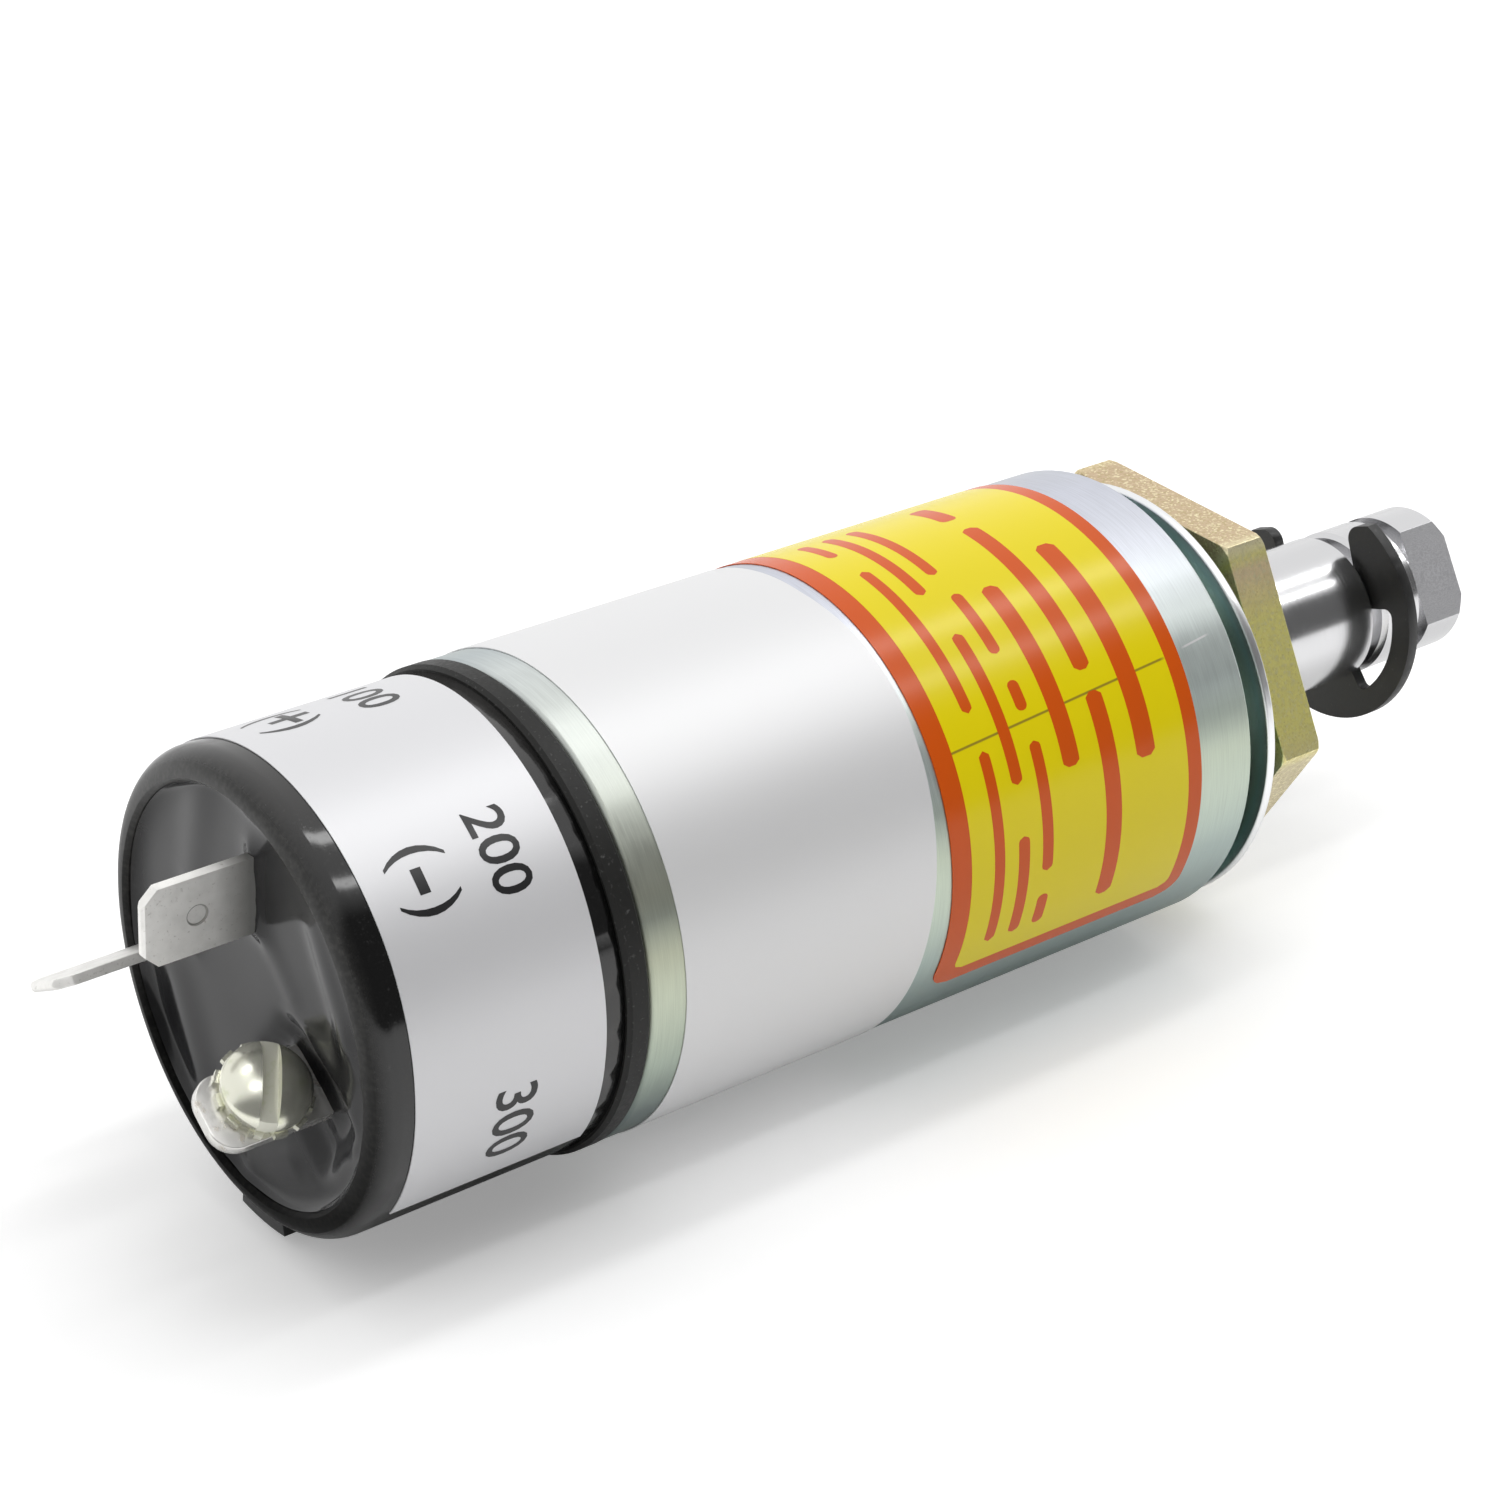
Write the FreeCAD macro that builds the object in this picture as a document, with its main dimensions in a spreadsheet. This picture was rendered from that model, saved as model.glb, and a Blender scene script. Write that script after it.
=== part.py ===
import FreeCAD, Part
import math
import os
import Sketcher
from FreeCAD import Placement, Rotation, Vector

# Engine stop solenoid. Millimetres, +X along the axis toward the plunger, +Z up.
# The origin is the centre of the shell's mounting end, where the threaded bush comes out.

doc = FreeCAD.newDocument("solenoid")
sheet = doc.addObject("Spreadsheet::Sheet", "Dimensions")


class Dim:
    """A number together with the sheet expression that gives it."""

    def __init__(self, value, text):
        self.value = value
        self.text = text

    def join(self, other, sign, value):
        return Dim(value, "(%s %s %s)" % (self.text, sign, as_dim(other).text))

    def __add__(self, other):
        return self.join(other, "+", self.value + as_dim(other).value)

    def __sub__(self, other):
        return self.join(other, "-", self.value - as_dim(other).value)

    def __mul__(self, other):
        return self.join(other, "*", self.value * as_dim(other).value)

    def __truediv__(self, other):
        return self.join(other, "/", self.value / as_dim(other).value)

    def __radd__(self, other):
        return as_dim(other) + self

    def __rsub__(self, other):
        return as_dim(other) - self

    def __rmul__(self, other):
        return as_dim(other) * self

    def __neg__(self):
        return as_dim(0) - self


def as_dim(number):
    """Plain numbers become constants of the expression."""
    if isinstance(number, Dim):
        return number
    return Dim(float(number), "(%.6g)" % number)


def cosine(angle):
    angle = as_dim(angle)
    return Dim(math.cos(math.radians(angle.value)), "cos(%s * 1 deg)" % angle.text)


def sine(angle):
    angle = as_dim(angle)
    return Dim(math.sin(math.radians(angle.value)), "sin(%s * 1 deg)" % angle.text)


def polar(radius, angle):
    return as_dim(radius) * cosine(angle), as_dim(radius) * sine(angle)


row_count = 0


def size(alias, value, note):
    """One row of the sheet: note, value and alias."""
    global row_count
    row_count += 1
    sheet.set("A%d" % row_count, note)
    sheet.set("B%d" % row_count, "%.6g" % value)
    sheet.setAlias("B%d" % row_count, alias)
    return Dim(float(value), "Dimensions." + alias)


# Shell and what closes it
shell_radius = size("shell_radius", 19.0, "outside radius of the steel shell")
shell_wall = size("shell_wall", 1.5, "wall of the shell")
shell_length = size("shell_length", 59.5, "length of the shell over its rolled edges")
shell_lip = size("shell_lip", 1.2, "thickness of both rolled edges")
lip_reach = size("lip_reach", 4.0, "how far the front edge is rolled in")
lip_radius = shell_radius - lip_reach
front_bend = size("front_bend", 0.2, "outside bend of the front edge")
rear_bend = size("rear_bend", 0.35, "outside bend of the rear edge")
seat_gap = size("seat_gap", 0.03, "gap between seated curved faces of fixed pieces")

# Threaded bush, guide tube and magnetic circuit
flange_thick = size("flange_thick", 3.0, "thickness of the bush flange, the front end plate")
thread_radius = size("thread_radius", 11.9, "major radius of the mounting thread, 15/16 inch")
bush_end = size("bush_end", 10.3, "end of the threaded bush")
bush_chamfer = size("bush_chamfer", 0.8, "start chamfer of the thread")
plunger_radius = size("plunger_radius", 6.35, "plunger radius, 1/2 inch bar")
running_fit = size("running_fit", 0.05, "radial running fit of the plunger in the guide tube")
tube_wall = size("tube_wall", 0.5, "wall of the brass guide tube")
tube_outer = plunger_radius + running_fit + tube_wall
tube_front = size("tube_front", 9.9, "front end of the guide tube")
plate_inset = size("plate_inset", 8.0, "rear edge of the shell to the rear flux plate")
plate_rear = plate_inset - shell_length
plate_thick = size("plate_thick", 3.0, "thickness of the rear flux plate")
tube_rear = plate_rear + plate_thick + 0.1
core_face = size("core_face", -31.5, "bottom of the cone seat in the fixed core")
core_rim = size("core_rim", -28.3, "front rim of the fixed core")
spigot_radius = size("spigot_radius", 4.5, "riveted spigot of the core in the flux plate")

# Bobbin and windings
bobbin_gap = size("bobbin_gap", 0.2, "end play of the bobbin between the end plates")
bobbin_wall = size("bobbin_wall", 1.1, "wall of the bobbin round the guide tube")
bobbin_hub = tube_outer + bobbin_wall
flange_play = size("flange_play", 0.6, "gap round the bobbin flanges")
bobbin_flange = shell_radius - shell_wall - flange_play
flange_wall = size("flange_wall", 1.5, "thickness of the bobbin flanges")
hold_depth = size("hold_depth", 3.5, "depth of the hold-in winding")
hold_radius = bobbin_hub + hold_depth
winding_drop = size("winding_drop", 1.1, "how far the windings stay below the flanges")
pull_radius = bobbin_flange - winding_drop
wrap_thick = size("wrap_thick", 0.5, "thickness of the winding wrap")
wrap_radius = pull_radius + wrap_thick
notch_width = size("notch_width", 3.0, "width of the notches for the leads")

# Terminal cap
gasket_thick = size("gasket_thick", 2.0, "thickness of the gasket ring")
cap_shoulder = -shell_length - gasket_thick
cap_height = size("cap_height", 20.6, "height of the cap over its shoulder")
cap_rear = cap_shoulder - cap_height
cap_step = size("cap_step", 0.45, "step from the shell down to the cap")
cap_radius = shell_radius - cap_step
rim_round = size("rim_round", 2.0, "outer rounding of the cap rim")
rim_wall = size("rim_wall", 2.45, "wall of the cap at the rim")
rim_inner = cap_radius - rim_wall
recess_depth = size("recess_depth", 6.1, "depth of the potted recess")
floor_rear = cap_rear + recess_depth
floor_wall = size("floor_wall", 2.0, "wall of the cap floor")
floor_front = floor_rear + floor_wall
skirt_gap = size("skirt_gap", 0.1, "radial gap between skirt and shell")
skirt_radius = shell_radius - shell_wall - skirt_gap
skirt_wall = size("skirt_wall", 1.5, "wall of the skirt, which is the switch chamber")
skirt_inner = skirt_radius - skirt_wall
groove_depth = size("groove_depth", 0.9, "depth of the groove that takes the rolled edge")
neck_radius = skirt_radius - groove_depth
gasket_stand = size("gasket_stand", 0.05, "how far the gasket ring stands out of the shell")
gasket_radius = shell_radius + gasket_stand
gasket_edge = size("gasket_edge", 0.3, "edge chamfer of the gasket ring")
key_angle = size("key_angle", 270.4, "angle of the key on the cap rim")
key_span = size("key_span", 17.7, "angle the key takes up")
key_height = size("key_height", 0.7, "height of the key over the cap")
key_radius = cap_radius + key_height
key_inset = size("key_inset", 0.9, "rim to the rear end of the key")
key_rear = cap_rear + key_inset
key_length = size("key_length", 2.3, "length of the key")
potting_drop = size("potting_drop", 1.25, "rim to the surface of the potting")
potting_face = cap_rear + potting_drop
meniscus = size("meniscus", 0.85, "height of the meniscus at the rim")
hollow_depth = size("hollow_depth", 1.55, "depth of the hollow in the potting round the tab")
hollow_face = potting_face + hollow_depth
hollow_width = size("hollow_width", 9.5, "width of that hollow")

# Terminals
blade_width = size("blade_width", 6.35, "width of both blade terminals, 1/4 inch")
blade_thick = size("blade_thick", 0.8, "thickness of both blade terminals")
blade_corner = size("blade_corner", 1.2, "corner cut at the blade tips")
blade_bevel = size("blade_bevel", 0.22, "bevel of the blade tips")
shank_width = size("shank_width", 3.2, "width of the shank through the cap floor")
shank_past = size("shank_past", 1.6, "how far the shanks reach past the cap floor")
shank_end = floor_front + shank_past
root_rise = size("root_rise", 2.6, "cap floor to the wide part of the blades")
root_depth = floor_rear - root_rise
negative_reach = size("negative_reach", 8.2, "how far the negative blade stands out of the rim")
negative_tip = cap_rear - negative_reach
negative_turn = size("negative_turn", 96.0, "direction of its width")
negative_y = size("negative_y", -1.93, "middle of the negative blade, across")
negative_inset = size("negative_inset", 6.77, "rim to the middle of the negative blade")
negative_z = rim_inner - negative_inset
detent_radius = size("detent_radius", 0.8, "radius of the detent of the negative blade")
detent_place = size("detent_place", 4.3, "distance of the detent from the tip")
positive_reach = size("positive_reach", 9.6, "how far the positive blade stands out of the rim")
positive_tip = cap_rear - positive_reach
positive_turn = size("positive_turn", 152.6, "direction of its width")
positive_inset = size("positive_inset", 4.8, "rim to the middle of the positive blade")
positive_y = rim_inner - positive_inset
positive_z = size("positive_z", -0.7, "middle of the positive blade, up")
tab_reach = size("tab_reach", 6.8, "how far the auxiliary tab stands out of the rim")
tab_tip = cap_rear - tab_reach
tab_turn = size("tab_turn", 218.0, "radial direction in which the tab lies")
tab_inset = size("tab_inset", 5.6, "rim to the outer edge of the auxiliary tab")
tab_outer = rim_inner - tab_inset
tab_width = size("tab_width", 5.8, "width of the auxiliary tab")
tab_inner = tab_outer - tab_width
tab_thick = size("tab_thick", 1.0, "thickness of the auxiliary tab")
tab_round = size("tab_round", 2.0, "corner radius of the tab tip")
screw_back = size("screw_back", 5.0, "tip of the tab to the middle of the screw")
screw_x = tab_tip + screw_back
screw_inset = size("screw_inset", 3.3, "outer edge of the tab to the screw")
screw_place = tab_outer - screw_inset
screw_radius = size("screw_radius", 1.75, "thread radius of the screw, number 6")
screw_length = size("screw_length", 5.6, "length of the screw under its head")
head_radius = size("head_radius", 3.4, "radius of the pan head")
head_height = size("head_height", 2.2, "height of the pan head")
head_round = size("head_round", 1.7, "rounding of the pan head")
slot_width = size("slot_width", 1.3, "width of the screwdriver slot")
slot_depth = size("slot_depth", 1.1, "depth of the screwdriver slot")
slot_turn = size("slot_turn", 114.0, "turn of the slot about the screw")
star_radius = size("star_radius", 3.7, "outside radius of the star washer")
star_root = size("star_root", 3.1, "radius between the teeth of the star washer")
star_thick = size("star_thick", 0.5, "thickness of the star washer")
teeth = 12

# Switch
rod_radius = size("rod_radius", 1.0, "push rod radius")
rod_fit = size("rod_fit", 0.08, "radial running fit of the push rod in the core")
rod_tip = size("rod_tip", -30.0, "front tip of the push rod")
carrier_space = size("carrier_space", 5.5, "rear flux plate to the switch carrier")
carrier_front = plate_rear - carrier_space
carrier_thick = size("carrier_thick", 1.5, "thickness of the switch carrier")
contact_height = size("contact_height", 1.0, "height of the fixed contacts")
contact_radius = size("contact_radius", 2.0, "radius of the fixed contacts")
contact_place = size("contact_place", 6.0, "distance of the contacts from the axis")
contact_gap = size("contact_gap", 0.02, "modelling gap under the closed bar")
bar_thick = size("bar_thick", 0.9, "thickness of the moving contact bar")
bar_overhang = size("bar_overhang", 2.5, "how far the bar reaches past the middle of a contact")
bar_length = (contact_place + bar_overhang) * 2
bar_width = size("bar_width", 5.0, "width of the moving contact bar")
spring_radius = size("spring_radius", 2.2, "mean radius of the contact spring")
spring_wire = size("spring_wire", 0.25, "wire radius of the contact spring")
spring_turns = 5
boss_height = size("boss_height", 4.0, "height of the boss that holds the spring")
spring_seat = floor_front + boss_height
boss_radius = size("boss_radius", 3.4, "radius of that boss")
lead_radius = size("lead_radius", 0.6, "radius of the internal leads")

# Washer and nut on the bush
washer_face = size("washer_face", 2.65, "near face of the mounting washer")
washer_thick = size("washer_thick", 0.85, "thickness of the mounting washer")
washer_step = size("washer_step", 1.13, "step from the shell down to the washer")
washer_radius = shell_radius - washer_step
washer_play = size("washer_play", 0.76, "radial play of the washer on the thread")
washer_hole = thread_radius + washer_play
washer_y = size("washer_y", -0.40, "sideways offset of the hanging washer")
washer_z = size("washer_z", -0.60, "drop of the hanging washer")
nut_face = size("nut_face", 4.97, "near face of the mounting nut")
nut_thick = size("nut_thick", 4.1, "thickness of the nut")
nut_flats = size("nut_flats", 31.1, "distance across the flats")
nut_turn = size("nut_turn", 3.1, "turn of the nut about the axis")
nut_corner = size("nut_corner", 0.25, "corner chamfer of the nut")

# Plunger and clip
plunger_inner = size("plunger_inner", -13.7, "inner end of the plunger at full extension")
plunger_end = size("plunger_end", 39.45, "outer end of the plunger")
head_length = size("head_length", 4.95, "length of the head with the wrench flats")
head_start = plunger_end - head_length
spare_width = size("spare_width", 1.5, "width of the spare groove")
second_groove = head_start - spare_width
land_length = size("land_length", 4.2, "length of the land between the grooves")
land_start = second_groove - land_length
clip_groove_width = size("clip_groove_width", 1.35, "width of the clip groove")
first_groove = land_start - clip_groove_width
cone_length = size("cone_length", 3.2, "length of the seat cone")
cone_tip = size("cone_tip", 3.0, "radius at the tip of the seat cone")
cone_step = size("cone_step", 0.35, "step from the bar to the seat cone")
cone_edge = plunger_radius - cone_step
clip_groove = size("clip_groove", 1.32, "depth of the clip groove")
groove_radius = plunger_radius - clip_groove
land_chamfer = size("land_chamfer", 0.4, "chamfer of the land")
bar_chamfer = size("bar_chamfer", 0.25, "chamfer of the bar at the clip groove")
spare_groove = size("spare_groove", 1.4, "depth of the spare groove")
spare_radius = plunger_radius - spare_groove
end_chamfer = size("end_chamfer", 0.9, "chamfer of the plunger end")
flats = size("flats", 9.5, "distance across the wrench flats, 3/8 inch")
flats_turn = size("flats_turn", 151.0, "direction the near wrench flat faces")
link_radius = size("link_radius", 2.75, "radius of the linkage thread hole")
link_depth = size("link_depth", 12.0, "depth of the linkage thread hole")
clip_play = size("clip_play", 0.27, "gap between the bar and the clip in its groove")
clip_face = first_groove + clip_play
clip_thick = size("clip_thick", 1.05, "thickness of the retaining clip")
clip_width = size("clip_width", 2.0, "radial width of the clip ring")
clip_space = size("clip_space", 1.75, "height of the relief openings over the bar")
clip_relief = plunger_radius + clip_space
clip_radius = clip_relief + clip_width
clip_bore = groove_radius + seat_gap
clip_turn = size("clip_turn", 70.0, "direction the clip opens to")
clip_snap = size("clip_snap", 0.46, "how far each prong reaches in at the throat")
clip_throat = (groove_radius - clip_snap) * 2
clip_past = size("clip_past", 0.75, "how far the prong ends reach past the bar")
clip_gate = plunger_radius + clip_past
clip_round = size("clip_round", 1.3, "lead-in rounding of the prongs")
relief_round = size("relief_round", 0.7, "corner radius of the relief openings")
clip_prong_angles = ((30, 92), (161, 199), (268, 330))

# Labels
film = size("film", 0.1, "thickness of the label films")
cap_label_inset = size("cap_label_inset", 3.0, "rim to the cap label")
cap_label_rear = cap_rear + cap_label_inset
cap_band = size("cap_band", 1.55, "bare band between the cap label and the shoulder")
cap_label_front = cap_shoulder - cap_band
cap_label_start_angle = size("cap_label_start_angle", 12.0, "angle where the cap label starts")
cap_label_end_angle = size("cap_label_end_angle", 219.0, "angle where the cap label ends")
body_label_inset = size("body_label_inset", 3.03, "rear edge of the shell to the body label")
body_label_rear = body_label_inset - shell_length
body_label_start_angle = size("body_label_start_angle", 0.0, "angle where the body label starts")
body_label_end_angle = size("body_label_end_angle", 250.0, "angle where the body label ends")
yellow_inset = size("yellow_inset", 5.65, "front edge of the shell to the yellow label")
yellow_front = -yellow_inset
yellow_length = size("yellow_length", 25.85, "length of the yellow label along the axis")
yellow_rear = yellow_front - yellow_length
label_gap = size("label_gap", 1.1, "gap between the two labels on the shell")
body_label_front = yellow_rear - label_gap
yellow_start_angle = size("yellow_start_angle", 49.0, "angle where the yellow label starts")
yellow_end_angle = size("yellow_end_angle", 210.8, "angle where the yellow label ends")

doc.recompute()


def new_body(name, moves=None, turn_about_x=None):
    """A body that is moved and turned by the sheet."""
    body = doc.addObject("PartDesign::Body", name)
    body.Label = name
    if moves:
        x, y, z = (as_dim(part) for part in moves)
        body.Placement = Placement(Vector(x.value, y.value, z.value), Rotation())
        body.setExpression(".Placement.Base.x", x.text)
        body.setExpression(".Placement.Base.y", y.text)
        body.setExpression(".Placement.Base.z", z.text)
    if turn_about_x is not None:
        turn = as_dim(turn_about_x)
        body.Placement = Placement(body.Placement.Base, Rotation(Vector(1, 0, 0), turn.value))
        body.setExpression(".Placement.Rotation.Axis.x", "1")
        body.setExpression(".Placement.Rotation.Axis.y", "0")
        body.setExpression(".Placement.Rotation.Axis.z", "0")
        body.setExpression(".Placement.Rotation.Angle", "%s * 1 deg" % turn.text)
    return body


def new_sketch(body, plane, name, offset=None):
    """A sketch on one of the body's own origin planes, moved along its normal."""
    sketch = body.newObject("Sketcher::SketchObject", name)
    for feature in body.Origin.OriginFeatures:
        if feature.Role == plane:
            sketch.AttachmentSupport = [(feature, "")]
    sketch.MapMode = "FlatFace"
    if offset is not None:
        offset = as_dim(offset)
        sketch.AttachmentOffset = Placement(Vector(0, 0, offset.value), Rotation())
        sketch.setExpression(".AttachmentOffset.Base.z", offset.text)
    return sketch


def hold(sketch, kind, first, second, dim):
    """A distance of one point from the sketch origin, driven by the sheet."""
    if abs(dim.value) < 1e-9:
        axis = -2 if kind == "DistanceX" else -1
        sketch.addConstraint(Sketcher.Constraint("PointOnObject", first, second, axis))
        return
    row = sketch.addConstraint(Sketcher.Constraint(kind, -1, 1, first, second, dim.value))
    sketch.setExpression("Constraints[%d]" % row, dim.text)


def polygon(sketch, corners):
    """Closed outline through the corners, every corner driven by the sheet."""
    corners = [(as_dim(x), as_dim(y)) for x, y in corners]
    start = sketch.GeometryCount
    count = len(corners)
    for i in range(count):
        x1, y1 = corners[i]
        x2, y2 = corners[(i + 1) % count]
        line = Part.LineSegment(Vector(x1.value, y1.value, 0), Vector(x2.value, y2.value, 0))
        sketch.addGeometry(line, False)
    for i in range(count):
        after = start + (i + 1) % count
        sketch.addConstraint(Sketcher.Constraint("Coincident", start + i, 2, after, 1))
    for i, (x, y) in enumerate(corners):
        hold(sketch, "DistanceX", start + i, 1, x)
        hold(sketch, "DistanceY", start + i, 1, y)


def circle(sketch, radius, x=0, y=0):
    """A circle whose centre and radius are driven by the sheet."""
    radius, x, y = as_dim(radius), as_dim(x), as_dim(y)
    item = sketch.addGeometry(Part.Circle(Vector(x.value, y.value, 0), Vector(0, 0, 1), radius.value), False)
    row = sketch.addConstraint(Sketcher.Constraint("Radius", item, radius.value))
    sketch.setExpression("Constraints[%d]" % row, radius.text)
    hold(sketch, "DistanceX", item, 3, x)
    hold(sketch, "DistanceY", item, 3, y)


def turned(body, stations, name="Turned", cut=False, degrees=360.0):
    """Revolves an outline of (x, radius) corners about the axis."""
    sketch = new_sketch(body, "XZ_Plane", name + "Outline")
    polygon(sketch, stations)
    kind = "PartDesign::Groove" if cut else "PartDesign::Revolution"
    feature = body.newObject(kind, name)
    feature.Profile = sketch
    feature.ReferenceAxis = (sketch, ["H_Axis"])
    feature.Angle = degrees
    sketch.Visibility = False
    return feature


def extruded(body, draw, length, plane="YZ_Plane", offset=None, name="Pad", middle=False):
    """Pads a drawn outline; draw is called with the sketch."""
    sketch = new_sketch(body, plane, name + "Outline", offset)
    draw(sketch)
    feature = body.newObject("PartDesign::Pad", name)
    feature.Profile = sketch
    length = as_dim(length)
    feature.Length = length.value
    feature.setExpression("Length", length.text)
    if middle:
        feature.Midplane = True
    sketch.Visibility = False
    return feature


def pocket(body, draw, length=None, plane="YZ_Plane", offset=None, name="Pocket", back=False, both=False):
    """Cuts a drawn outline, through everything when no length is given."""
    sketch = new_sketch(body, plane, name + "Outline", offset)
    draw(sketch)
    feature = body.newObject("PartDesign::Pocket", name)
    feature.Profile = sketch
    if length is None:
        feature.Type = "ThroughAll"
    else:
        length = as_dim(length)
        feature.Length = length.value
        feature.setExpression("Length", length.text)
    if both:
        feature.Midplane = True
    if back:
        feature.Reversed = True
    sketch.Visibility = False
    return feature


def rounded(body, radius, wanted, name="Round", kind="PartDesign::Fillet"):
    """Rounds or chamfers the edges of the tip that the test picks out."""
    doc.recompute()
    tip = body.Tip
    picked = []
    for i, edge in enumerate(tip.Shape.Edges):
        if wanted(edge):
            picked.append("Edge%d" % (i + 1))
    feature = body.newObject(kind, name)
    feature.Base = (tip, picked)
    radius = as_dim(radius)
    if kind == "PartDesign::Fillet":
        feature.Radius = radius.value
        feature.setExpression("Radius", radius.text)
    else:
        feature.Size = radius.value
        feature.setExpression("Size", radius.text)
    return feature


def at_circle(x, radius):
    """Picks full circles about the axis at one station."""
    x, radius = as_dim(x).value, as_dim(radius).value

    def wanted(edge):
        if not isinstance(edge.Curve, Part.Circle):
            return False
        centre = edge.Curve.Center
        near = abs(centre.x - x) < 0.01 and math.hypot(centre.y, centre.z) < 0.01
        return near and abs(edge.Curve.Radius - radius) < 0.01

    return wanted


def along(axis, spots):
    """Picks straight edges parallel to an axis that pass through one of the spots."""

    def wanted(edge):
        if not isinstance(edge.Curve, Part.Line):
            return False
        first, last = edge.Vertexes[0].Point, edge.Vertexes[-1].Point
        if abs(abs((last - first).normalize().dot(axis)) - 1.0) > 1e-6:
            return False
        for spot in spots:
            away = first - spot
            if (away - axis * away.dot(axis)).Length < 0.02:
                return True
        return False

    return wanted


def box(x1, x2, y1, y2):
    return [(x1, y1), (x2, y1), (x2, y2), (x1, y2)]


nodes = []


def keep(item):
    nodes.append(item)
    return item


# Steel shell: one tube with both edges rolled in.
shell_inner = shell_radius - shell_wall
shell = keep(new_body("shell"))
turned(shell, [
    (-shell_length, neck_radius + seat_gap),
    (-shell_length, shell_radius),
    (0, shell_radius),
    (0, lip_radius),
    (-shell_lip, lip_radius),
    (-shell_lip, shell_inner),
    (shell_lip - shell_length, shell_inner),
    (shell_lip - shell_length, neck_radius + seat_gap),
])
shell_rear_edge = at_circle(-shell_length, shell_radius)
shell_front_edge = at_circle(0, shell_radius)
rounded(shell, front_bend, shell_front_edge, "FrontBend", "PartDesign::Chamfer")
rounded(shell, rear_bend, shell_rear_edge, "RearBend", "PartDesign::Chamfer")

# Mounting bush: the front end plate and the threaded hub are one piece.
flange_rear = -shell_lip - flange_thick
bush = keep(new_body("mounting_bush"))
turned(bush, [
    (flange_rear, tube_outer + seat_gap),
    (flange_rear, shell_inner - seat_gap * 2),
    (-shell_lip, shell_inner - seat_gap * 2),
    (-shell_lip, lip_radius - 0.3),
    (-0.4, lip_radius - 0.3),
    (-0.4, thread_radius),
    (bush_end - bush_chamfer, thread_radius),
    (bush_end, thread_radius - bush_chamfer),
    (bush_end, tube_outer + seat_gap),
])

# Guide tube in which the plunger runs.
tube = keep(new_body("guide_tube"))
turned(tube, box(tube_rear, tube_front, plunger_radius + running_fit, tube_outer))

# Fixed core with the cone seat, its spigot riveted in the rear flux plate.
plate_front = plate_rear + plate_thick
core = keep(new_body("fixed_core"))
turned(core, [
    (plate_rear, rod_radius + rod_fit),
    (plate_rear, spigot_radius),
    (plate_front, spigot_radius),
    (plate_front, plunger_radius),
    (core_rim, plunger_radius),
    (core_rim, cone_edge + 0.05),
    (core_face, cone_tip + 0.05),
    (core_face, rod_radius + rod_fit),
])

rear_plate = keep(new_body("rear_flux_plate"))
turned(rear_plate, box(plate_rear, plate_front, spigot_radius + seat_gap, shell_inner - seat_gap * 2))


notch_floor = skirt_inner - 1.9


def lead_notch(sketch):
    polygon(sketch, box(-notch_width / 2, notch_width / 2, notch_floor, shell_radius + 1))


pocket(rear_plate, lead_notch, offset=plate_rear, name="LeadNotch", both=True)

# Bobbin with its two windings and the wrap over them.
bobbin_front = flange_rear - bobbin_gap
bobbin_rear = plate_front + bobbin_gap
bobbin = keep(new_body("bobbin"))
turned(bobbin, [
    (bobbin_rear, tube_outer + seat_gap),
    (bobbin_rear, bobbin_flange),
    (bobbin_rear + flange_wall, bobbin_flange),
    (bobbin_rear + flange_wall, bobbin_hub),
    (bobbin_front - flange_wall, bobbin_hub),
    (bobbin_front - flange_wall, bobbin_flange),
    (bobbin_front, bobbin_flange),
    (bobbin_front, tube_outer + seat_gap),
])
pocket(bobbin, lead_notch, length=flange_wall * 2, offset=bobbin_rear, name="LeadNotch", both=True)

wound_rear = bobbin_rear + flange_wall
wound_front = bobbin_front - flange_wall
hold_winding = keep(new_body("hold_in_winding"))
turned(hold_winding, box(wound_rear, wound_front, bobbin_hub + seat_gap, hold_radius))
pull_winding = keep(new_body("pull_in_winding"))
turned(pull_winding, box(wound_rear, wound_front, hold_radius + seat_gap, pull_radius))
wrap = keep(new_body("winding_wrap"))
turned(wrap, box(wound_rear, wound_front, pull_radius + seat_gap, wrap_radius))

# Terminal cap: cup for the potting, floor, switch chamber and skirt in one moulding.
skirt_front = plate_rear - 0.1
groove_front = shell_lip - shell_length + 0.05
cap = keep(new_body("terminal_cap"))
turned(cap, [
    (cap_rear, rim_inner),
    (cap_rear, cap_radius),
    (cap_shoulder, cap_radius),
    (cap_shoulder, neck_radius),
    (groove_front, neck_radius),
    (groove_front, skirt_radius),
    (skirt_front, skirt_radius),
    (skirt_front, skirt_inner),
    (floor_front, skirt_inner),
    (floor_front, boss_radius),
    (spring_seat, boss_radius),
    (spring_seat, 0),
    (floor_rear, 0),
    (floor_rear, rim_inner),
])
cap_rim = at_circle(cap_rear, cap_radius)
rounded(cap, rim_round, cap_rim, "RimRound")
cap_lip = at_circle(cap_rear, rim_inner)
rounded(cap, 0.35, cap_lip, "LipChamfer", "PartDesign::Chamfer")
key_inner = cap_radius - 0.9


def key_outline(sketch):
    """The key is part of a ring, drawn on the plane across the axis."""
    steps = 6
    first = key_angle - key_span / 2
    corners = [polar(key_inner, first)]
    for i in range(steps + 1):
        corners.append(polar(key_radius, first + key_span * (i / steps)))
    corners.append(polar(key_inner, first + key_span))
    polygon(sketch, corners)


extruded(cap, key_outline, key_length, offset=key_rear, name="Key")

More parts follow.
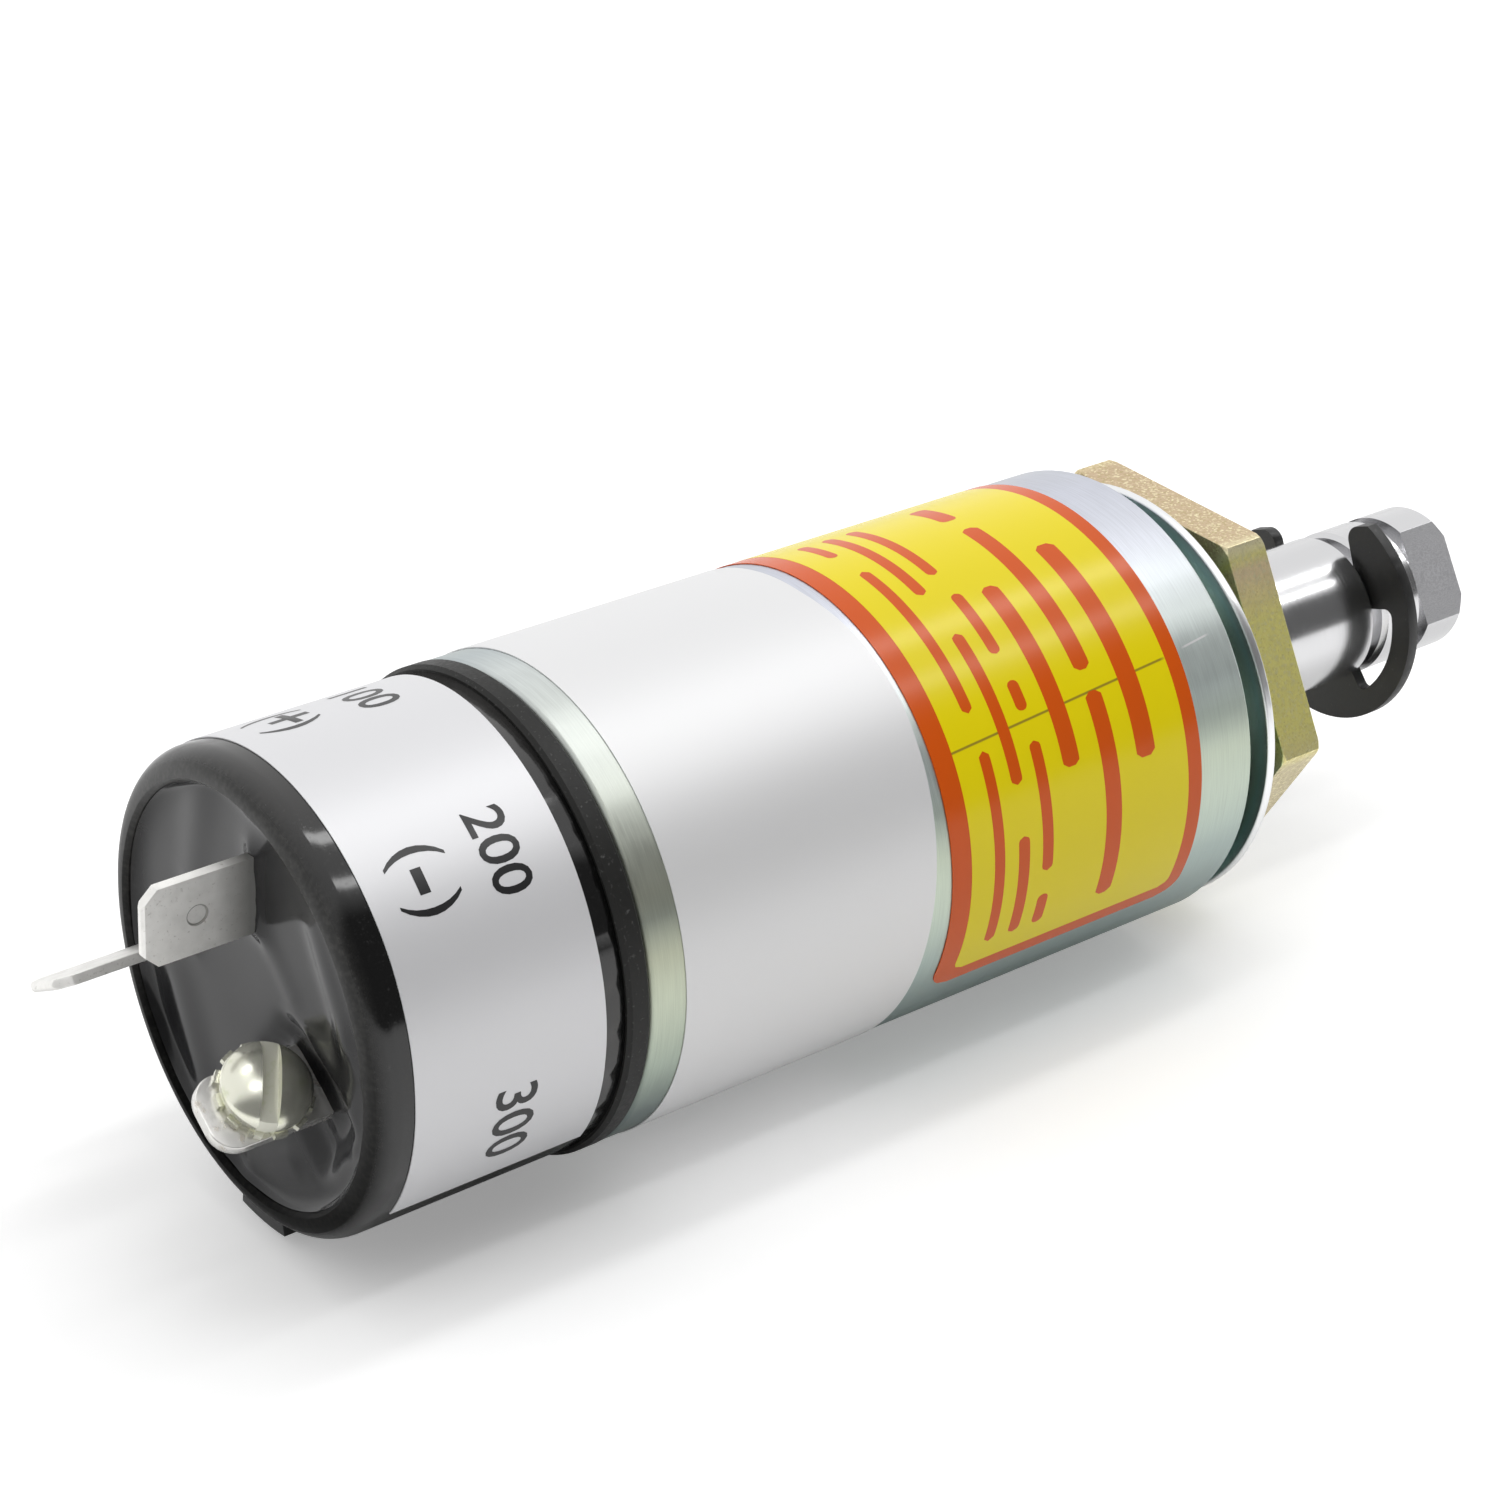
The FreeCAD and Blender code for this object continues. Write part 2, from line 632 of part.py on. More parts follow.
# Gasket ring between the cap shoulder and the shell.
gasket = keep(new_body("gasket_ring"))
turned(gasket, box(cap_shoulder, -shell_length, neck_radius + seat_gap, gasket_radius))
rear_gasket_edge = at_circle(cap_shoulder, gasket_radius)
front_gasket_edge = at_circle(-shell_length, gasket_radius)
rounded(gasket, gasket_edge, lambda edge: rear_gasket_edge(edge) or front_gasket_edge(edge),
        "Edges", "PartDesign::Chamfer")

# Potting with its meniscus.
potting = keep(new_body("potting"))
turned(potting, [
    (floor_rear, 0),
    (floor_rear, rim_inner - seat_gap),
    (potting_face - meniscus, rim_inner - seat_gap),
    (potting_face - meniscus * 0.35, rim_inner - 0.7),
    (potting_face, rim_inner - 2.0),
    (potting_face, 0),
])


def hollow_outline(sketch):
    """The potting has sunk round the auxiliary tab, up to the meniscus."""
    half = hollow_width / 2
    corners = []
    for reach, side in ((tab_inner - 1.6, -0.6), (rim_inner - 2.2, -1), (rim_inner - 2.2, 1), (tab_inner - 1.6, 0.6)):
        y = reach * cosine(tab_turn) - half * sine(tab_turn) * side
        z = reach * sine(tab_turn) + half * cosine(tab_turn) * side
        corners.append((y, z))
    polygon(sketch, corners)


pocket(potting, hollow_outline, length=hollow_depth + 2, offset=hollow_face, name="Hollow")


def terminal(name, tip, y, z, turn):
    """A blade terminal: wide blade, cut corners and a narrow shank through the cap floor."""
    body = keep(new_body(name, (0, y, z), turn))
    half = blade_width / 2
    narrow = shank_width / 2

    def outline(sketch):
        polygon(sketch, [
            (tip, blade_corner - half),
            (tip + blade_corner, -half),
            (root_depth, -half),
            (root_depth, -narrow),
            (shank_end, -narrow),
            (shank_end, narrow),
            (root_depth, narrow),
            (root_depth, half),
            (tip + blade_corner, half),
            (tip, half - blade_corner),
        ])

    extruded(body, outline, blade_thick, plane="XY_Plane", middle=True)
    tip_edges = []
    for side in (-1, 1):
        tip_edges.append(Vector(tip.value, 0, side * blade_thick.value / 2))
    rounded(body, blade_bevel, along(Vector(0, 1, 0), tip_edges), "TipBevel", "PartDesign::Chamfer")
    return body


negative = terminal("negative_blade", negative_tip, negative_y, negative_z, negative_turn)


def detent(sketch):
    circle(sketch, detent_radius, negative_tip + detent_place, 0)


# The detent of the blade is a shallow round mark on its outer face.
pocket(negative, detent, length=0.12, plane="XY_Plane", offset=blade_thick / 2, name="Detent")
positive = terminal("positive_blade", positive_tip, positive_y, positive_z, positive_turn)

# Auxiliary tab with the tapped hole for the binding screw.
tab = keep(new_body("auxiliary_tab", (0, 0, 0), tab_turn))
tab_middle = (tab_inner + tab_outer) / 2
narrow = shank_width / 2


def tab_outline(sketch):
    polygon(sketch, [
        (tab_tip, tab_inner),
        (root_depth, tab_inner),
        (root_depth, tab_middle - narrow),
        (shank_end, tab_middle - narrow),
        (shank_end, tab_middle + narrow),
        (root_depth, tab_middle + narrow),
        (root_depth, tab_outer),
        (tab_tip, tab_outer),
    ])


def tab_hole(sketch):
    circle(sketch, screw_radius + seat_gap, screw_x, screw_place)


extruded(tab, tab_outline, tab_thick, plane="XY_Plane", middle=True)
pocket(tab, tab_hole, plane="XY_Plane", name="ScrewHole", both=True)
tab_spots = [Vector(tab_tip.value, tab_inner.value, 0), Vector(tab_tip.value, tab_outer.value, 0)]
rounded(tab, tab_round, along(Vector(0, 0, 1), tab_spots), "TipRound")

# Screw, star washer and tab share the local frame of the tab: the head is on the -Z side.
star_face = -tab_thick / 2 - star_thick
head_face = star_face
screw = keep(new_body("auxiliary_screw", (0, 0, 0), tab_turn))


def screw_body(sketch):
    circle(sketch, screw_radius, screw_x, screw_place)


def screw_head(sketch):
    circle(sketch, head_radius, screw_x, screw_place)


extruded(screw, screw_head, head_height, plane="XY_Plane", offset=head_face - head_height, name="Head")


def head_top(edge):
    if not isinstance(edge.Curve, Part.Circle):
        return False
    return abs(edge.Curve.Center.z - (head_face - head_height).value) < 0.01


rounded(screw, head_round, head_top, "HeadRound")
extruded(screw, screw_body, screw_length, plane="XY_Plane", offset=head_face, name="Shank")


def slot_outline(sketch):
    """The slot runs across the head, turned about the screw axis."""
    half = slot_width / 2
    far = head_radius + 0.6
    corners = []
    for reach, side in ((-far, -1), (far, -1), (far, 1), (-far, 1)):
        x = screw_x + reach * cosine(slot_turn) - half * sine(slot_turn) * side
        y = screw_place + reach * sine(slot_turn) + half * cosine(slot_turn) * side
        corners.append((x, y))
    polygon(sketch, corners)


slot_offset = head_face - head_height + slot_depth
pocket(screw, slot_outline, length=slot_depth + 0.5, plane="XY_Plane", offset=slot_offset, name="Slot")

star = keep(new_body("star_lock_washer", (0, 0, 0), tab_turn))


def star_outline(sketch):
    corners = []
    for i in range(teeth):
        pitch = 360.0 / teeth
        for reach, part in ((star_radius, 0.0), (star_radius, 0.5), (star_root, 0.6), (star_root, 0.9)):
            y, z = polar(reach, pitch * (i + part))
            corners.append((screw_x + y, screw_place + z))
    polygon(sketch, corners)


def star_hole(sketch):
    circle(sketch, screw_radius + 0.15, screw_x, screw_place)


extruded(star, star_outline, star_thick, plane="XY_Plane", offset=star_face)
pocket(star, star_hole, plane="XY_Plane", name="Hole", both=True)

# Slots of the potting and holes of the cap floor are cut to the terminals.
fit_pieces = ((negative_y, negative_z, negative_turn, 0), (positive_y, positive_z, positive_turn, 0),
              (0, 0, tab_turn, tab_middle))


def slot_in(body, spot, width, thick, name, start):
    """Cuts the through slot of one terminal, drawn across the axis."""
    y0, z0, turn, middle = spot
    half, deep = as_dim(width) / 2, as_dim(thick) / 2

    def outline(sketch):
        corners = []
        for across, up in ((-half, -deep), (half, -deep), (half, deep), (-half, deep)):
            reach = across + middle
            y = as_dim(y0) + reach * cosine(turn) - up * sine(turn)
            z = as_dim(z0) + reach * sine(turn) + up * cosine(turn)
            corners.append((y, z))
        polygon(sketch, corners)

    return pocket(body, outline, length=8, offset=start, name=name, back=True)


names = ("Negative", "Positive", "Auxiliary")
thicknesses = (blade_thick, blade_thick, tab_thick)
wide_widths = (blade_width, blade_width, tab_outer - tab_inner)
for spot, name, thick, wide in zip(fit_pieces, names, thicknesses, wide_widths):
    slot_in(potting, spot, shank_width, thick, name + "Shank", floor_rear - 5)
    slot_in(potting, spot, wide, thick, name + "Root", root_depth - 8)
    slot_in(cap, spot, shank_width, thick, name + "Shank", floor_rear - 2)

# Switch: carrier plate, two fixed contacts, moving bar, push rod and contact spring.
carrier_rear = carrier_front - carrier_thick
contact_face = carrier_rear - contact_height
carrier = keep(new_body("switch_carrier"))
turned(carrier, box(carrier_rear, carrier_front, rod_radius + 0.5, skirt_inner - seat_gap * 2))


def contact_holes(sketch):
    circle(sketch, contact_radius / 2 + seat_gap, contact_place, 0)
    circle(sketch, contact_radius / 2 + seat_gap, -contact_place, 0)


pocket(carrier, contact_holes, offset=carrier_rear, name="ContactHoles", both=True)
pocket(carrier, lead_notch, offset=carrier_rear, name="LeadNotch", both=True)

for name, side in (("pull_contact", -1), ("supply_contact", 1)):
    contact = keep(new_body(name, (0, contact_place * side, 0)))
    turned(contact, [
        (contact_face, 0),
        (contact_face, contact_radius),
        (carrier_rear, contact_radius),
        (carrier_rear, contact_radius / 2),
        (carrier_front + 0.6, contact_radius / 2),
        (carrier_front + 0.6, 0),
    ])

bar_front = contact_face - contact_gap
bar_rear = bar_front - bar_thick
bar = keep(new_body("contact_bar"))


def bar_outline(sketch):
    polygon(sketch, box(-bar_length / 2, bar_length / 2, -bar_width / 2, bar_width / 2))


def bar_hole(sketch):
    circle(sketch, rod_radius * 0.7 + seat_gap)


extruded(bar, bar_outline, bar_thick, offset=bar_rear)
pocket(bar, bar_hole, name="RodHole", offset=bar_rear, both=True)

rod = keep(new_body("push_rod"))
turned(rod, [
    (bar_rear - 0.8, 0),
    (bar_rear - 0.8, rod_radius * 0.7),
    (bar_front, rod_radius * 0.7),
    (bar_front, rod_radius),
    (rod_tip - 0.2, rod_radius),
    (rod_tip, rod_radius - 0.2),
    (rod_tip, 0),
])


def wire_along(points, radius):
    """A round wire swept along straight runs, mitred at each corner."""
    section = Part.makeCircle(radius, points[0], points[1] - points[0])
    sweep = Part.BRepOffsetAPI.MakePipeShell(Part.makePolygon(points))
    sweep.setFrenetMode(True)
    sweep.setTransitionMode(1)
    sweep.add(Part.Wire([section]), False, False)
    sweep.build()
    sweep.makeSolid()
    return sweep.shape()


# The contact spring is a wire swept along straight chords of a helix, mitred at each joint.
# A sketch feature has no plainer way to make it, and its ends seat on the boss and the bar.
spring_space = bar_rear - spring_seat
coil_height = spring_space.value - 2 * spring_wire.value - 0.04
chords = 12 * spring_turns
chord_points = []
for i in range(chords + 1):
    angle = 2 * math.pi * spring_turns * i / chords
    across = spring_radius.value * math.cos(angle)
    chord_points.append(Vector(coil_height * i / chords, across, spring_radius.value * math.sin(angle)))
spring = doc.addObject("Part::Feature", "contact_spring")
spring.Label = "contact_spring"
spring.Shape = wire_along(chord_points, spring_wire.value)
spring.Placement = Placement(Vector(spring_seat.value + spring_wire.value + 0.02, 0, 0), Rotation())
keep(spring)


def lead(name, points):
    """An internal lead: round wire along straight runs."""
    item = doc.addObject("Part::Feature", name)
    item.Label = name
    item.Shape = wire_along([Vector(*point) for point in points], lead_radius.value)
    return keep(item)


# Straight-run leads; each ends on the piece it is soldered to.
lead_x = shank_end.value + lead_radius.value
mid_x = (plate_rear.value + carrier_front.value) / 2
contact_x = carrier_front.value + 0.6 + lead_radius.value
place = contact_place.value
notch_z = skirt_inner.value - 0.9
side_y = skirt_inner.value - 2.3
lead("supply_lead", [
    (lead_x, positive_y.value, positive_z.value),
    (lead_x, side_y, 3.0),
    (carrier_rear.value - 1.5, side_y, 3.0),
    (carrier_rear.value - 1.5, 0.75, notch_z),
    (mid_x + 0.9, 0.75, notch_z),
    (mid_x + 0.9, place, 2.5),
    (contact_x, place, 0),
])
lead("return_lead", [
    (lead_x, negative_y.value, negative_z.value),
    (lead_x, -0.85, notch_z),
    (wound_rear.value - 0.7, -0.85, notch_z),
])
lead("pull_lead", [
    (contact_x, -place, 0),
    (mid_x - 0.9, -place, 3.0),
    (mid_x - 0.9, -2.4, notch_z - 2.0),
    (mid_x + 1.6, -0.9, notch_z - 1.6),
])
tab_spot = Vector(0, tab_middle.value, 0)
tab_spot = Rotation(Vector(1, 0, 0), tab_turn.value).multVec(tab_spot)
lead("auxiliary_lead", [
    (shank_end.value + 0.1, tab_spot.y, tab_spot.z),
    (carrier_rear.value - 3.4, -place, -3.2),
])

# Mounting washer, hanging loose on the thread, and the thin mounting nut.
washer = keep(new_body("mounting_washer", (0, washer_y, washer_z)))
turned(washer, box(washer_face, washer_face + washer_thick, washer_hole, washer_radius))
washer_rear_edge = at_circle(washer_face, washer_radius)
washer_front_edge = at_circle(washer_face + washer_thick, washer_radius)
rounded(washer, 0.15, lambda edge: washer_rear_edge(edge) or washer_front_edge(edge),
        "Edges", "PartDesign::Chamfer")

nut = keep(new_body("mounting_nut", (0, 0, 0), nut_turn))
corner_radius = nut_flats / 2 / cosine(30)


def hexagon(sketch):
    polygon(sketch, [polar(corner_radius, 60 * i) for i in range(6)])


def nut_bore(sketch):
    circle(sketch, thread_radius + seat_gap)


extruded(nut, hexagon, nut_thick, offset=nut_face)
pocket(nut, nut_bore, offset=nut_face, name="Bore", both=True)
nut_far = nut_face + nut_thick
nut_drop = nut_corner * 1.4
turned(nut, [
    (nut_face, corner_radius - nut_drop),
    (nut_face + nut_corner, corner_radius + 0.01),
    (nut_face, corner_radius + 0.01),
], "NearCorners", True)
turned(nut, [
    (nut_far, corner_radius - nut_drop),
    (nut_far - nut_corner, corner_radius + 0.01),
    (nut_far, corner_radius + 0.01),
], "FarCorners", True)

# Plunger: one turned bar with seat cone, clip groove, spare groove, wrench flats and tapped end.
plunger = keep(new_body("plunger"))
turned(plunger, [
    (plunger_inner, 0),
    (plunger_inner, cone_tip),
    (plunger_inner + cone_length, cone_edge),
    (plunger_inner + cone_length, plunger_radius),
    (first_groove - bar_chamfer, plunger_radius),
    (first_groove, plunger_radius - bar_chamfer),
    (first_groove, groove_radius),
    (land_start, groove_radius),
    (land_start, plunger_radius - land_chamfer),
    (land_start + land_chamfer, plunger_radius),
    (second_groove, plunger_radius),
    (second_groove, spare_radius),
    (head_start, spare_radius),
    (head_start, plunger_radius),
    (plunger_end - end_chamfer, plunger_radius),
    (plunger_end, plunger_radius - end_chamfer),
    (plunger_end, link_radius + 0.4),
    (plunger_end - 0.4, link_radius),
    (plunger_end - link_depth, link_radius),
    (plunger_end - link_depth - link_radius * 0.58, 0),
])


def wrench_flat(turn):
    """Region outside one flat, drawn across the axis."""

    def outline(sketch):
        corners = []
        for out, across in ((flats / 2, -7.5), (flats / 2 + 3, -7.5), (flats / 2 + 3, 7.5), (flats / 2, 7.5)):
            y = out * cosine(turn) - across * sine(turn)
            z = out * sine(turn) + across * cosine(turn)
            corners.append((y, z))
        polygon(sketch, corners)

    return outline


flat_length = plunger_end - second_groove - 0.75
for name, turn in (("NearFlat", flats_turn), ("FarFlat", flats_turn + 180)):
    pocket(plunger, wrench_flat(turn), length=flat_length, offset=plunger_end, name=name)

# Retaining clip: ring with three prongs, open to one side.
clip = keep(new_body("retaining_clip", (clip_face, 0, 0), clip_turn))


def clip_ring(sketch):
    circle(sketch, clip_radius)
    circle(sketch, clip_relief)


def clip_prongs(sketch):
    """Three prongs drawn as one outline around the centre."""
    reach = clip_relief + clip_width / 2
    corners = []
    for first, last in clip_prong_angles:
        steps = 4
        corners.append(polar(clip_bore / 2, first))
        for i in range(steps + 1):
            corners.append(polar(reach, first + (last - first) * i / steps))
        corners.append(polar(clip_bore / 2, last))
    polygon(sketch, corners)


def clip_seat(sketch):
    circle(sketch, clip_bore)


def clip_opening(sketch):
    half = clip_throat / 2
    wide = clip_radius + 1
    polygon(sketch, [
        (0, -half),
        (clip_gate, -half),
        (clip_gate, -wide),
        (wide, -wide),
        (wide, wide),
        (clip_gate, wide),
        (clip_gate, half),
        (0, half),
    ])


extruded(clip, clip_ring, clip_thick, name="Ring")
extruded(clip, clip_prongs, clip_thick, name="Prongs")
pocket(clip, clip_seat, name="Seat", both=True)
pocket(clip, clip_opening, name="Opening", both=True)
gate_spots = [Vector(0, clip_gate.value, side * clip_throat.value / 2) for side in (-1, 1)]
rounded(clip, clip_round, along(Vector(1, 0, 0), gate_spots), "LeadIn")


def relief_corner(edge):
    """Edges along the axis where a prong meets the ring."""
    if not isinstance(edge.Curve, Part.Line):
        return False
    first, last = edge.Vertexes[0].Point, edge.Vertexes[-1].Point
    if abs(first.x - last.x) < clip_thick.value - 0.01:
        return False
    if abs(math.hypot(first.y, first.z) - clip_relief.value) > 0.01:
        return False
    return abs(math.degrees(math.atan2(first.z, first.y))) > 60


rounded(clip, relief_round, relief_corner, "ReliefCorners")


def label(name, x1, x2, inner, first, last):
    """A label: thin film on the cylinder between two angles."""
    angle = last - first
    body = keep(new_body(name, (0, 0, 0), first))
    outline = box(x1, x2, inner, inner + film)
    sketch = new_sketch(body, "XY_Plane", "FilmOutline")
    polygon(sketch, outline)
    feature = body.newObject("PartDesign::Revolution", "Film")
    feature.Profile = sketch
    feature.ReferenceAxis = (sketch, ["H_Axis"])
    feature.Angle = angle.value
    feature.setExpression("Angle", "%s * 1 deg" % angle.text)
    sketch.Visibility = False
    return body


on_cap = cap_radius + seat_gap
on_shell = shell_radius + seat_gap
label("cap_label", cap_label_rear, cap_label_front, on_cap, cap_label_start_angle, cap_label_end_angle)
label("body_label", body_label_rear, body_label_front, on_shell, body_label_start_angle, body_label_end_angle)
label("yellow_label", yellow_rear, yellow_front, on_shell, yellow_start_angle, yellow_end_angle)

doc.recompute()

problems = []
for item in doc.Objects:
    if "Invalid" in item.State or "Error" in item.State:
        problems.append("%s: %s" % (item.Name, item.State))
os.makedirs("parts", exist_ok=True)
for old in os.listdir("parts"):
    if old.endswith(".step"):
        os.remove(os.path.join("parts", old))
triangles = 0
for item in nodes:
    shape = item.Shape
    if shape.isNull() or not shape.isValid():
        problems.append("%s: shape is not valid" % item.Label)
        continue
    if len(shape.Solids) != 1:
        problems.append("%s: %d solids" % (item.Label, len(shape.Solids)))
    shape.exportStep(os.path.join("parts", item.Label + ".step"))
    limits = shape.BoundBox
    triangles += len(shape.tessellate(0.1)[1])
    print("%-18s x %8.2f %8.2f  r %6.2f  volume %9.2f" % (
        item.Label, limits.XMin, limits.XMax, max(limits.YMax, limits.ZMax, -limits.YMin, -limits.ZMin),
        shape.Volume))
print("nodes", len(nodes), "triangles", triangles)
for text in problems:
    print("PROBLEM", text)
if problems:
    raise SystemExit(1)
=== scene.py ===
import math

import bmesh
import bpy
from mathutils import Matrix, Vector


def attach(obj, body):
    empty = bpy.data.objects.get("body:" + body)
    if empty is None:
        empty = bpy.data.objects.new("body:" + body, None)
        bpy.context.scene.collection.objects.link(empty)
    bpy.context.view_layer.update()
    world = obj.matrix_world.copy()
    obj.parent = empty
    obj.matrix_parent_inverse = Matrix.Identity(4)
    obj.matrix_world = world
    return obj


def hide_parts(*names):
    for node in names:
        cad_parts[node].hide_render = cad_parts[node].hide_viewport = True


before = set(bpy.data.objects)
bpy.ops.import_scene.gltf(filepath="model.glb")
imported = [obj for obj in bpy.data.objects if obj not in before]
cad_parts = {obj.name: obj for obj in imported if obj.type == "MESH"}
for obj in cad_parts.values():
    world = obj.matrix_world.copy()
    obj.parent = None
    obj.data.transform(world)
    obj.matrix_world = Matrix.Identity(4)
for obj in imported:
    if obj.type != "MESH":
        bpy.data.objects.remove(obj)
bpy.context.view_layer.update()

# Sizes are in millimetres in the part's frame.
# X is the axis, and an angle round it is atan2(z, y) in degrees.
MM = 0.001
shell_radius = 19.0
cap_radius = 18.55
film_gap = 0.02
film_thickness = 0.1
tab_turn = 218.0
full_turn = 360.0


# Geometry helpers

def on_cylinder(x, radius, angle):
    """Point at a station, radius and angle round the axis."""
    turn = math.radians(angle)
    return Vector((x, radius * math.cos(turn), radius * math.sin(turn))) * MM


def make_object(name, points, faces, material, sharp=35.0, body="housing"):
    """A mesh piece with smooth shading that keeps edges above the sharp angle."""
    mesh = bpy.data.meshes.new(name)
    mesh.from_pydata([tuple(p) for p in points], [], faces)
    mesh.validate()
    mesh.shade_smooth()
    mesh.set_sharp_from_angle(angle=math.radians(sharp))
    mesh.materials.append(material)
    piece = bpy.data.objects.new(name, mesh)
    bpy.context.scene.collection.objects.link(piece)
    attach(piece, body)
    return piece


def revolved(name, stations, material, steps, radius_at, sharp):
    """Turns a closed outline of (x, radius) stations about the axis; radius_at shapes it by angle."""
    count = len(stations)
    points = []
    for i in range(steps):
        angle = full_turn * i / steps
        for x, radius in stations:
            points.append(on_cylinder(x, radius_at(x, radius, angle), angle))
    faces = []
    for i in range(steps):
        here, after = i * count, ((i + 1) % steps) * count
        for j in range(count):
            k = (j + 1) % count
            faces.append((here + j, here + k, after + k, after + j))
    return make_object(name, points, faces, material, sharp)


def film(name, left, right, inner, outer, first, last, material, rows=None):
    """A thin sheet on the cylinder between two angles; left and right give its edges at an angle."""
    rows = rows or max(8, int((last - first) / 1.5))
    across = 2
    wide = across + 1
    near, far = [], []
    for i in range(rows + 1):
        angle = first + (last - first) * i / rows
        x1, x2 = left(angle), right(angle)
        for j in range(wide):
            x = x1 + (x2 - x1) * j / across
            near.append(on_cylinder(x, outer, angle))
            far.append(on_cylinder(x, inner, angle))
    total = len(near)
    faces = []
    for i in range(rows):
        for j in range(across):
            a, b = i * wide + j, i * wide + j + 1
            c, d = b + wide, a + wide
            faces.append((a, d, c, b))
            faces.append((total + a, total + b, total + c, total + d))
        for j, flip in ((0, False), (across, True)):
            a, d = i * wide + j, (i + 1) * wide + j
            side = (a, total + a, total + d, d)
            faces.append(side[::-1] if flip else side)
    for i, flip in ((0, True), (rows, False)):
        for j in range(across):
            a, b = i * wide + j, i * wide + j + 1
            side = (a, total + a, total + b, b)
            faces.append(side[::-1] if flip else side)
    return make_object(name, near + far, faces, material, 40.0)


def rounded_edge(straight, corner, first, last, radius, toward):
    """Edge of a film with rounded corners at both ends of its angle range."""
    def edge(angle):
        run = min(angle - first, last - angle) * math.pi / 180.0 * radius
        if run >= corner:
            return straight
        return straight + toward * (corner - math.sqrt(max(0.0, corner ** 2 - (corner - run) ** 2)))
    return edge


def rounded_film(name, rear, front, first, last, corner, radius, inner, outer, material, rows):
    """A film with straight edges and four rounded corners."""
    left = rounded_edge(rear, corner, first, last, radius, 1)
    right = rounded_edge(front, corner, first, last, radius, -1)
    return film(name, left, right, inner, outer, first, last, material, rows)


def edge_through(rows):
    """Piecewise linear edge through (angle, station) rows."""
    def edge(angle):
        if angle <= rows[0][0]:
            return rows[0][1]
        for (a1, x1), (a2, x2) in zip(rows, rows[1:]):
            if angle <= a2:
                return x1 + (x2 - x1) * (angle - a1) / (a2 - a1)
        return rows[-1][1]
    return edge


def soften(node_name, width, segments=2, angle=30.0):
    """A small bevel on the edges of a CAD node."""
    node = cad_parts[node_name]
    weld = node.modifiers.new("weld", "WELD")
    weld.merge_threshold = 0.002 * MM
    bevel = node.modifiers.new("bevel", "BEVEL")
    bevel.width = width * MM
    bevel.segments = segments
    bevel.limit_method = "ANGLE"
    bevel.angle_limit = math.radians(angle)
    bevel.harden_normals = True


# Material helpers

def add(tree, kind, inputs=None, **settings):
    """A node with its settings and its inputs, which may be values or other nodes' outputs."""
    item = tree.nodes.new(kind)
    for key, value in settings.items():
        setattr(item, key, value)
    for key, value in (inputs or {}).items():
        if isinstance(value, bpy.types.NodeSocket):
            tree.links.new(value, item.inputs[key])
        else:
            item.inputs[key].default_value = value
    return item


def calc(tree, operation, *values):
    """A math node's output."""
    return add(tree, "ShaderNodeMath", dict(enumerate(values)), operation=operation).outputs[0]


def ramp(tree, value, stops):
    """A colour ramp over the value; stops are (position, colour)."""
    item = add(tree, "ShaderNodeValToRGB", {0: value})
    for i, (position, colour) in enumerate(stops):
        stop = item.color_ramp.elements[i] if i < 2 else item.color_ramp.elements.new(position)
        stop.position = position
        stop.color = (*colour, 1.0)
    return item.outputs[0]


def remap(tree, value, low, high, to_low, to_high):
    """A clamped linear map."""
    return add(tree, "ShaderNodeMapRange",
               {0: value, 1: low, 2: high, 3: to_low, 4: to_high}).outputs[0]


def share(tree, value, low, high):
    """How far the value has gone from low to high, from 0 to 1."""
    return remap(tree, value, low, high, 0.0, 1.0)


def mix(tree, factor, first, second):
    """A number between two numbers."""
    return add(tree, "ShaderNodeMix", {0: factor, 2: first, 3: second}).outputs[0]


def blend(tree, factor, first, second):
    """A colour between two colours, each an (r, g, b) or another node's output."""
    pair = [(*colour, 1.0) if isinstance(colour, tuple) else colour for colour in (first, second)]
    item = add(tree, "ShaderNodeMix", {0: factor, 6: pair[0], 7: pair[1]}, data_type="RGBA")
    return item.outputs[2]


def paint(name, colour, rough, metal=0.0, **sockets):
    """A material with a principled shader; returns material, tree and shader."""
    material = bpy.data.materials.new(name)
    material.use_nodes = True
    tree = material.node_tree
    shader = tree.nodes["Principled BSDF"]
    shader.inputs["Base Color"].default_value = (*colour, 1.0)
    shader.inputs["Roughness"].default_value = rough
    shader.inputs["Metallic"].default_value = metal
    for key, value in sockets.items():
        shader.inputs[key.replace("_", " ")].default_value = value
    return material, tree, shader


def join(tree, shader, **sockets):
    """Links outputs to the shader's inputs, named with underscores."""
    for key, value in sockets.items():
        tree.links.new(value, shader.inputs[key.replace("_", " ")])


def place(tree):
    """Object coordinates in millimetres: the vector and its x, y, z."""
    spot = add(tree, "ShaderNodeTexCoord").outputs["Object"]
    scaled = add(tree, "ShaderNodeVectorMath", {0: spot, "Scale": 1 / MM}, operation="SCALE").outputs[0]
    parts = add(tree, "ShaderNodeSeparateXYZ", {0: scaled})
    return scaled, parts.outputs[0], parts.outputs[1], parts.outputs[2]


def noise(tree, spot, scale, detail=3.0, along=(1.0, 1.0, 1.0)):
    """Noise, stretched by the factors along x, y and z."""
    sized = add(tree, "ShaderNodeVectorMath", {0: spot, 1: along}, operation="MULTIPLY").outputs[0]
    return add(tree, "ShaderNodeTexNoise", {"Vector": sized, "Scale": scale, "Detail": detail}).outputs[0]


def bump(tree, shader, height, strength, distance=0.02):
    """Relief from a height between 0 and 1."""
    item = add(tree, "ShaderNodeBump", {"Height": height, "Strength": strength, "Distance": distance * MM})
    join(tree, shader, Normal=item.outputs[0])


